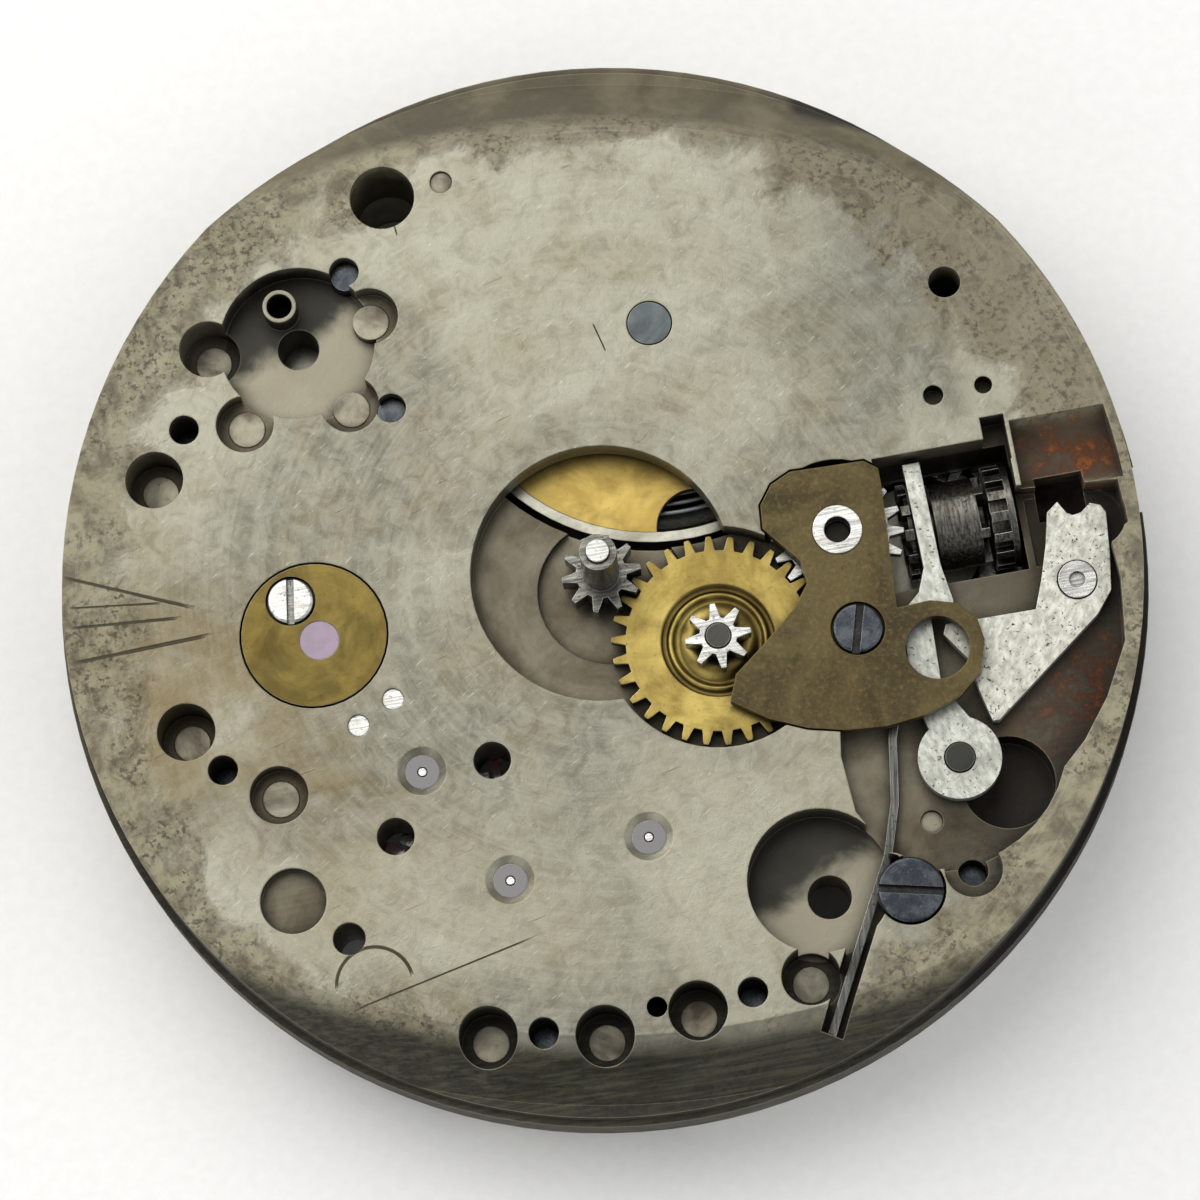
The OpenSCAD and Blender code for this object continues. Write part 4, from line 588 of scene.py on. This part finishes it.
FINISH = {
    "plate": plate_finish(),
    "cover": cover_finish(),
    "bridge": turned_metal(
        "bridge_silvering", MIDDLE, paint(132, 130, 118), paint(182, 180, 164),
        rough=0.36, stain=0.3, fine=6.0,
    ),
    "barrel_brass": turned_metal(
        "barrel_brass", BARREL, paint(148, 124, 64), paint(190, 166, 94), rough=0.4, stain=0.45
    ),
    "drum_silver": turned_metal(
        "drum_nickel_silver", BARREL, paint(134, 132, 120), paint(188, 186, 172),
        rough=0.34, stain=0.3,
    ),
    "arbor_steel": turned_metal(
        "arbor_steel", BARREL, paint(66, 72, 76), paint(104, 110, 110),
        rough=0.36, stain=0.2, fine=16.0, old=paint(48, 48, 46),
    ),
    "coil_steel": turned_metal(
        "coil_steel", BARREL, paint(92, 96, 100), paint(150, 154, 156),
        rough=0.3, stain=0.2, fine=16.0, old=paint(70, 66, 58),
    ),
    "minute_brass": turned_metal(
        "minute_wheel_brass", MINUTE, paint(126, 108, 54), paint(178, 158, 90),
        rough=0.34, stain=0.55, grooves=(1.2, 0.26),
    ),
    "cap_bronze": turned_metal(
        "cap_bronze", CAP_PLATE, paint(78, 68, 36), paint(122, 106, 56), rough=0.4, stain=0.5
    ),
    "balance_gold": turned_metal(
        "balance_gilding", BALANCE, paint(170, 140, 74), paint(220, 194, 122),
        rough=0.28, stain=0.2, fine=12.0,
    ),
    "pin_metal": turned_metal(
        "pin_metal", MIDDLE, paint(84, 82, 74), paint(150, 144, 126),
        rough=0.4, stain=0.7, fine=5.0, old=paint(60, 50, 38),
    ),
    "lever_steel": grained_steel(
        "lever_steel", paint(166, 166, 154), paint(214, 214, 202),
        heading=62.0, rough=0.46, pits=0.95, fine=7.0, metal=0.6, long=4.0,
    ),
    "yoke_steel": grained_steel(
        "yoke_steel", paint(158, 160, 150), paint(208, 209, 198),
        heading=100.0, rough=0.42, pits=0.8, fine=7.0, metal=0.65, long=4.0,
    ),
    "spring_steel": grained_steel(
        "spring_steel", paint(56, 58, 58), paint(112, 112, 106), heading=80.0, rough=0.36, pits=0.4
    ),
    "steel": grained_steel(
        "bright_steel", paint(150, 150, 146), paint(214, 214, 208), heading=0.0, rough=0.24, pits=0.25
    ),
    "dark_steel": grained_steel(
        "dark_steel", paint(58, 56, 52), paint(124, 122, 114), heading=90.0, rough=0.34, pits=0.6
    ),
    "cannon_steel": grained_steel(
        "cannon_steel", paint(70, 70, 66), paint(140, 140, 132), heading=0.0, rough=0.26, pits=0.5
    ),
    "blued": blued_steel("blued_steel", paint(52, 56, 62), paint(78, 82, 86)),
    "hair_steel": blued_steel("hair_steel", paint(44, 56, 84), paint(76, 92, 120)),
    "purple": jewel_finish("purple_jewel", paint(112, 78, 112)),
    "dark_jewel": jewel_finish("dark_jewel", paint(22, 14, 18)),
    "ruby": jewel_finish("ruby_jewel", paint(138, 32, 62)),
}
for wheel, centre in {"centre": MIDDLE, "third": THIRD, "fourth": FOURTH, "cap": CAP_PLATE}.items():
    FINISH[wheel + "_brass"] = turned_metal(
        wheel + "_brass", centre, paint(132, 112, 56), paint(184, 164, 96), rough=0.34, stain=0.5
    )
for wheel, centre in {"ratchet": BARREL, "crown": CROWN}.items():
    FINISH[wheel + "_steel"] = turned_metal(
        wheel + "_steel", centre, paint(138, 138, 132), paint(206, 206, 198),
        rough=0.28, stain=0.2, fine=16.0, old=paint(96, 88, 74),
    )

WEARS = {
    "main_plate": "plate",
    "barrel_bridge": "bridge",
    "fourth_cock": "bridge",
    "escape_cock": "bridge",
    "balance_cock": "bridge",
    "pallet_cock": "bridge",
    "barrel_drum": "drum_silver",
    "barrel_cover": "barrel_brass",
    "barrel_arbor": "arbor_steel",
    "mainspring": "spring_steel",
    "ratchet_wheel": "ratchet_steel",
    "ratchet_screw": "blued",
    "crown_wheel": "crown_steel",
    "crown_wheel_screw": "blued",
    "click": "steel",
    "click_screw": "blued",
    "click_spring": "spring_steel",
    "center_wheel": "centre_brass",
    "center_arbor": "steel",
    "third_wheel": "third_brass",
    "third_pinion": "steel",
    "fourth_wheel": "fourth_brass",
    "fourth_pinion": "steel",
    "escape_wheel": "steel",
    "escape_pinion": "steel",
    "pallet_fork": "steel",
    "pallet_arbor": "steel",
    "pallet_stones": "ruby",
    "balance_wheel": "balance_gold",
    "balance_screws": "balance_gold",
    "balance_staff": "steel",
    "roller": "steel",
    "impulse_jewel": "ruby",
    "hairspring": "blued",
    "hairspring_collet": "cap_brass",
    "hairspring_stud": "steel",
    "regulator": "steel",
    "upper_cap_jewel": "ruby",
    "cannon_pinion": "cannon_steel",
    "minute_wheel": "minute_brass",
    "minute_pinion": "steel",
    "setting_wheel": "steel",
    "winding_pinion": "dark_steel",
    "clutch_wheel": "dark_steel",
    "yoke": "yoke_steel",
    "yoke_spring": "spring_steel",
    "yoke_spring_screw": "blued",
    "setting_lever": "lever_steel",
    "setting_lever_screw": "steel",
    "cover_plate": "cover",
    "cover_plate_screw": "blued",
    "cover_bush": "steel",
    "balance_cap_plate": "cap_bronze",
    "cap_plate_screw": "steel",
    "lower_cap_jewel": "purple",
    "plate_jewels": "dark_jewel",
    "bridge_jewels": "ruby",
    "bridge_screws": "blued",
    "steady_pins": "pin_metal",
    "banking_pins": "steel",
}


def wear(piece, finish):
    """Gives the whole piece one finish."""
    piece.data.materials.clear()
    piece.data.materials.append(FINISH[finish])


for node, finish in WEARS.items():
    wear(frame["nodes"][node], finish)


# Pieces formed by a rule, each in place of its plain solid

BODY_OF = {
    node: body for body, nodes in frame["record"]["behaviour"]["bodies"].items() for node in nodes
}
SLOT_WIDE, SLOT_DEEP = 0.16, 0.18  # a screw head's usual slot, in mm


def low_high(node):
    """The node's lowest and highest corners, in mm."""
    return [Vector(corner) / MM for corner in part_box(node)]


def wound(node, finish, centre, inner, pitch, turns, thick, heading):
    """A flat spiral of spring strip with rounded edges; heading is of its inner end, in degrees."""
    low, high = low_high(node)
    p = Pattern(node + "_coil")
    core = p.given("Inner radius", inner)
    step = p.given("Pitch", pitch)
    rounds = p.given("Turns", float(turns))
    gauge = p.given("Thickness", thick)
    tall = p.given("Height", high.z - low.z)
    path = p.node(
        "GeometryNodeCurveSpiral",
        None,
        {
            "Resolution": 120,
            "Rotations": rounds,
            "Start Radius": core + gauge / 2,
            "End Radius": core + gauge / 2 + step * rounds,
            "Height": 0.0,
            "Reverse": True,
        },
    )
    strip = p.node("GeometryNodeCurvePrimitiveQuadrilateral", None, {0: gauge, 1: tall})
    strip = p.node(
        "GeometryNodeFilletCurve", {"mode": "POLY"}, {0: strip, "Count": 3, "Radius": gauge * 0.35}
    )
    coil = p.node("GeometryNodeCurveToMesh", None, {0: path, 1: strip, "Fill Caps": True})
    at = (centre[0], centre[1], (low.z + high.z) / 2)
    coil = p.moved(coil, at, (0.0, 0.0, math.radians(heading)))
    p.form(coil, [(0, 0, 0)], finish, node)


def screw_pattern(name, head, tall, thread, slot=SLOT_WIDE, deep=SLOT_DEEP, round_off=0.07):
    """Slotted heads with rounded rims on their threads, one at each place."""
    p = Pattern(name)
    r = p.given("Head radius", head)
    h = p.given("Head height", tall)
    b = p.given("Rim rounding", round_off)
    wide = p.given("Slot width", slot)
    cut = p.given("Slot depth", deep)
    shank = p.given("Thread radius", thread)
    bands = 5  # rings of faces up the side; the lowest is the wall and the others round the rim
    blank = p.node(
        "GeometryNodeMeshCylinder",
        None,
        {"Vertices": 48, "Side Segments": bands, "Fill Segments": 2, "Radius": r, "Depth": h},
    )
    x, y, z = p.parts(p.node("GeometryNodeInputPosition"))
    level = z / h + 0.5
    wall = 1 / bands
    swing = p.high(level - wall, 0.0) / (1 - wall) * (math.pi / 2)
    foot = p.maths("LESS_THAN", level, wall / 2)
    lift = b * p.maths("SINE", swing) - b - (h - b) * foot
    scale = (r - b + b * p.maths("COSINE", swing)) / r
    blank = p.node(
        "GeometryNodeSetPosition",
        None,
        {0: blank, "Position": p.vector(x * scale, y * scale, lift)},
    )
    cutter = p.node("GeometryNodeMeshCube", None, {"Size": p.vector(r * 3.0, wide, cut * 2.0)})
    heads = p.node(
        "GeometryNodeMeshBoolean",
        {"operation": "DIFFERENCE", "solver": "EXACT"},
        {0: blank, 1: [cutter]},
    )
    turn = p.attribute("turn", "FLOAT_VECTOR")
    reach = p.attribute("reach", "FLOAT")
    heads = p.node(
        "GeometryNodeInstanceOnPoints", None, {0: p.places, "Instance": heads, "Rotation": turn}
    )
    rod = p.node("GeometryNodeMeshCylinder", None, {"Vertices": 24, "Radius": shank, "Depth": 1.0})
    rod = p.moved(rod, (0.0, 0.0, -0.5))
    rods = p.node(
        "GeometryNodeInstanceOnPoints",
        None,
        {0: p.places, "Instance": rod, "Rotation": turn, "Scale": p.vector(1.0, 1.0, reach - h)},
    )
    rods = p.node(
        "GeometryNodeTranslateInstances",
        None,
        {0: rods, "Translation": p.vector(0.0, 0.0, -h), "Local Space": True},
    )
    return p, p.joined(heads, rods)


def lone_screw(node, finish, tall, thread, heading, down=False, slot=SLOT_WIDE, deep=SLOT_DEEP):
    """One screw on its node's own axis, with its head at the node's top or underside."""
    low, high = low_high(node)
    head = (high.x - low.x) / 2
    at = ((low.x + high.x) / 2, (low.y + high.y) / 2, low.z if down else high.z)
    p, whole = screw_pattern(node + "_slotted", head, tall, thread, slot, deep)
    turn = (math.pi if down else 0.0, 0.0, math.radians(heading))
    p.form(whole, [at], finish, node, [turn], [high.z - low.z])


SPRING_COILS = 14  # wound closer than the solid strip, within the same inner and outer turn
SPRING_SPREAD = 3.2  # from the strip's inner turn to its outer one
wound(
    "mainspring", "coil_steel", BARREL,
    inner=1.3, pitch=SPRING_SPREAD / SPRING_COILS, turns=SPRING_COILS, thick=0.14, heading=20.0,
)
wound(
    "hairspring", "hair_steel", BALANCE, inner=0.5, pitch=0.48, turns=4, thick=0.05, heading=226.0
)
lone_screw("cover_plate_screw", "blued", tall=0.25, thread=0.3, heading=74.0, slot=0.2)
lone_screw("yoke_spring_screw", "blued", tall=0.5, thread=0.35, heading=-13.0, slot=0.2)
lone_screw("cap_plate_screw", "steel", tall=0.26, thread=0.24, heading=82.0, slot=0.18)
lone_screw(
    "ratchet_screw", "blued", tall=0.2, thread=0.25, heading=30.0, down=True, slot=0.3, deep=0.12
)
lone_screw(
    "crown_wheel_screw", "blued", tall=0.12, thread=0.3, heading=70.0, down=True, slot=0.3, deep=0.07
)
lone_screw("click_screw", "blued", tall=0.1, thread=0.28, heading=120.0, down=True, deep=0.05)


def rim_screws():
    """The small timing screws round the balance rim, their slots along the rim."""
    low, high = low_high("balance_screws")
    count = 16
    step = 2 * math.pi / count
    middle = (low.z + high.z) / 2
    headings = [step * (k + 0.5) + math.radians(20) for k in range(count)]
    head_tall = 0.2
    radius = 3.1 + head_tall  # the rim and the head that stands on it
    points = [
        (BALANCE[0] + radius * math.cos(a), BALANCE[1] + radius * math.sin(a), middle)
        for a in headings
    ]
    p, whole = screw_pattern(
        "timing_screws", 0.16, head_tall, thread=0.08, slot=0.05, deep=0.06, round_off=0.04
    )
    turns = [(0.0, math.pi / 2, a) for a in headings]
    length = 0.34
    p.form(whole, points, "balance_gold", "balance_screws", turns, [length] * count)


rim_screws()


def stepped_wheel(node, finish, centre, teeth, module, profile, phase):
    """A toothed wheel with round-topped teeth, its stepped web turned from a profile."""
    low, high = low_high(node)
    p = Pattern(node + "_cut")
    count = p.given("Teeth", teeth)
    root = p.given("Root radius", module * (teeth / 2 - 1.2))
    tip = p.given("Tip radius", module * (teeth / 2 + 0.95))
    thick = p.given("Thickness", high.z - low.z)
    facets = 18  # points along the outline of one tooth
    rim = p.circle(count * facets, 1.0)
    step = p.maths("FRACT", p.node("GeometryNodeInputIndex") / float(facets) + 0.5)
    from_top = p.size(step - 0.5)
    tooth = p.node(
        "ShaderNodeMapRange",
        {"interpolation_type": "SMOOTHSTEP"},
        {"Value": from_top, "From Min": 0.29, "From Max": 0.1},
    )
    x, y, _ = p.parts(p.node("GeometryNodeInputPosition"))
    radius = root + (tip - root) * tooth
    outline = p.vector(x * radius, y * radius, 0.0)
    rim = p.node("GeometryNodeSetPosition", None, {0: rim, "Position": outline})
    smooth = 96
    inner = p.circle(smooth, profile[-1][0])
    band = p.node("GeometryNodeFillCurve", {"mode": "TRIANGLES"}, {0: p.joined(rim, inner)})
    rise = {"Offset": p.vector(0.0, 0.0, 1.0), "Offset Scale": thick}
    walls = p.node("GeometryNodeExtrudeMesh", None, {0: band, **rise, "Individual": False})
    under = p.node("GeometryNodeFlipFaces", None, {0: band})
    ring = p.joined(walls, under)
    ring = p.moved(ring, (centre[0], centre[1], low.z), (0.0, 0.0, math.radians(phase)))
    pinprick = 0.0001  # a circle round the axis that leaves the profile's radii as they are
    turned = p.node("GeometryNodeMeshToCurve", None, {0: p.places})
    web = p.node("GeometryNodeCurveToMesh", None, {0: p.circle(smooth, pinprick), 1: turned})
    web = p.moved(web, (centre[0], centre[1], low.z))
    points = [(r, -z * (high.z - low.z), 0.0) for r, z in profile]
    p.form(p.joined(ring, web), points, finish, node, chain=True)


MINUTE_PROFILE = (  # radius in mm, and height as a share of the wheel's thickness
    (1.42, 0.0), (0.34, 0.0), (0.34, 0.8), (0.92, 0.8), (0.95, 0.45), (1.10, 0.45), (1.13, 0.7),
    (1.22, 0.7), (1.25, 0.4), (1.40, 0.4), (1.42, 1.0), (1.42, 0.0),
)
CANNON_LEAVES, MINUTE_TEETH = 10, 30
TOOTH_MODULE = 0.165
minute_heading = math.degrees(math.atan2(MINUTE[1], MINUTE[0]))
in_mesh = minute_heading * (1 + CANNON_LEAVES / MINUTE_TEETH) + 180 + 180 / MINUTE_TEETH
stepped_wheel(
    "minute_wheel", "minute_brass", MINUTE, MINUTE_TEETH, TOOTH_MODULE, MINUTE_PROFILE, in_mesh
)


# Floor, light and camera

AIM = (-0.145, -0.683, FACE)  # the point at the middle of the picture, in mm
CAMERA_SIDE = (-0.00277, -0.23173, 0.97277)  # from the middle of the face towards the camera
CAMERA_FAR = 0.137  # metres from there
CAMERA_ROLL = math.radians(10)
PAPER_DARK = (0.80, 0.795, 0.78, 1.0)
PAPER_LIGHT = (0.83, 0.825, 0.81, 1.0)
SKY_LOW = (0.62, 0.62, 0.62, 1.0)
SKY_HIGH = (0.80, 0.81, 0.83, 1.0)


def lay_floor():
    """A plain pale sheet of paper, in metres."""
    span = 0.9
    corners = [(-span, -span, 0.0), (span, -span, 0.0), (span, span, 0.0), (-span, span, 0.0)]
    mesh = bpy.data.meshes.new("floor")
    mesh.from_pydata(corners, [], [(0, 1, 2, 3)])
    f = Recipe("floor_paper")
    tooth = f.noise(3.0, 4.0, 0.6)
    tone = f.mix(f.rise(tooth, 0.3, 0.7), PAPER_DARK, PAPER_LIGHT)
    mesh.materials.append(f.skin(tone, 0.75, 0.0, f.bump(tooth, 0.01)))
    link("floor", mesh)


def light_sky():
    """A faint grey light from all round, a little brighter above."""
    world = bpy.data.worlds.new("studio")
    bpy.context.scene.world = world
    world.use_nodes = True
    sky = Nodes(world.node_tree)
    sky.tree.nodes.clear()
    height = sky.parts(sky.node("ShaderNodeTexCoord", out="Generated"))[2]
    stops = [(0.0, SKY_LOW), (1.0, SKY_HIGH)]
    colour = sky.node("ShaderNodeValToRGB", {"stops": stops}, {0: height})
    lit = sky.node("ShaderNodeBackground", None, {0: colour, "Strength": 0.5})
    sky.close("ShaderNodeOutputWorld", lit)


def lamp(name, place, size, watts, colour=(1.0, 1.0, 1.0)):
    """A soft round lamp that looks at the origin; metres and watts."""
    light = bpy.data.lights.new(name, "AREA")
    light.shape = "DISK"
    light.size = size
    light.energy = watts
    light.color = colour
    made = link(name, light)
    made.location = place
    made.rotation_mode = "QUATERNION"
    made.rotation_quaternion = (-Vector(place)).to_track_quat("-Z", "Y")


def set_camera():
    """The photograph's view, aimed a little off the middle and turned with the photograph."""
    camera = bpy.data.cameras.new("photo_camera")
    camera.sensor_width = 36.0
    camera.lens = 167.31
    camera.clip_start = 0.01
    camera.clip_end = 3.0
    eye = link("photo_camera", camera)
    seat = Vector((0.0, 0.0, FACE)) * MM + Vector(CAMERA_SIDE).normalized() * CAMERA_FAR
    back = (seat - Vector(AIM) * MM).normalized()
    up = Vector((math.sin(CAMERA_ROLL), math.cos(CAMERA_ROLL), 0.0))
    right = up.cross(back).normalized()
    up = back.cross(right).normalized()
    turn = Matrix((right, up, back)).transposed()
    eye.rotation_mode = "QUATERNION"
    eye.location = seat
    eye.rotation_quaternion = turn.to_quaternion()
    bpy.context.scene.camera = eye


lay_floor()
light_sky()
lamp("key_light", (-0.10, 0.16, 0.22), size=0.40, watts=0.95, colour=(1.0, 0.985, 0.96))
lamp("fill_light", (0.20, -0.06, 0.20), size=0.36, watts=0.32, colour=(0.97, 0.985, 1.0))
lamp("low_light", (-0.16, -0.18, 0.10), size=0.26, watts=0.18)
set_camera()
bpy.context.scene.view_settings.view_transform = "Standard"
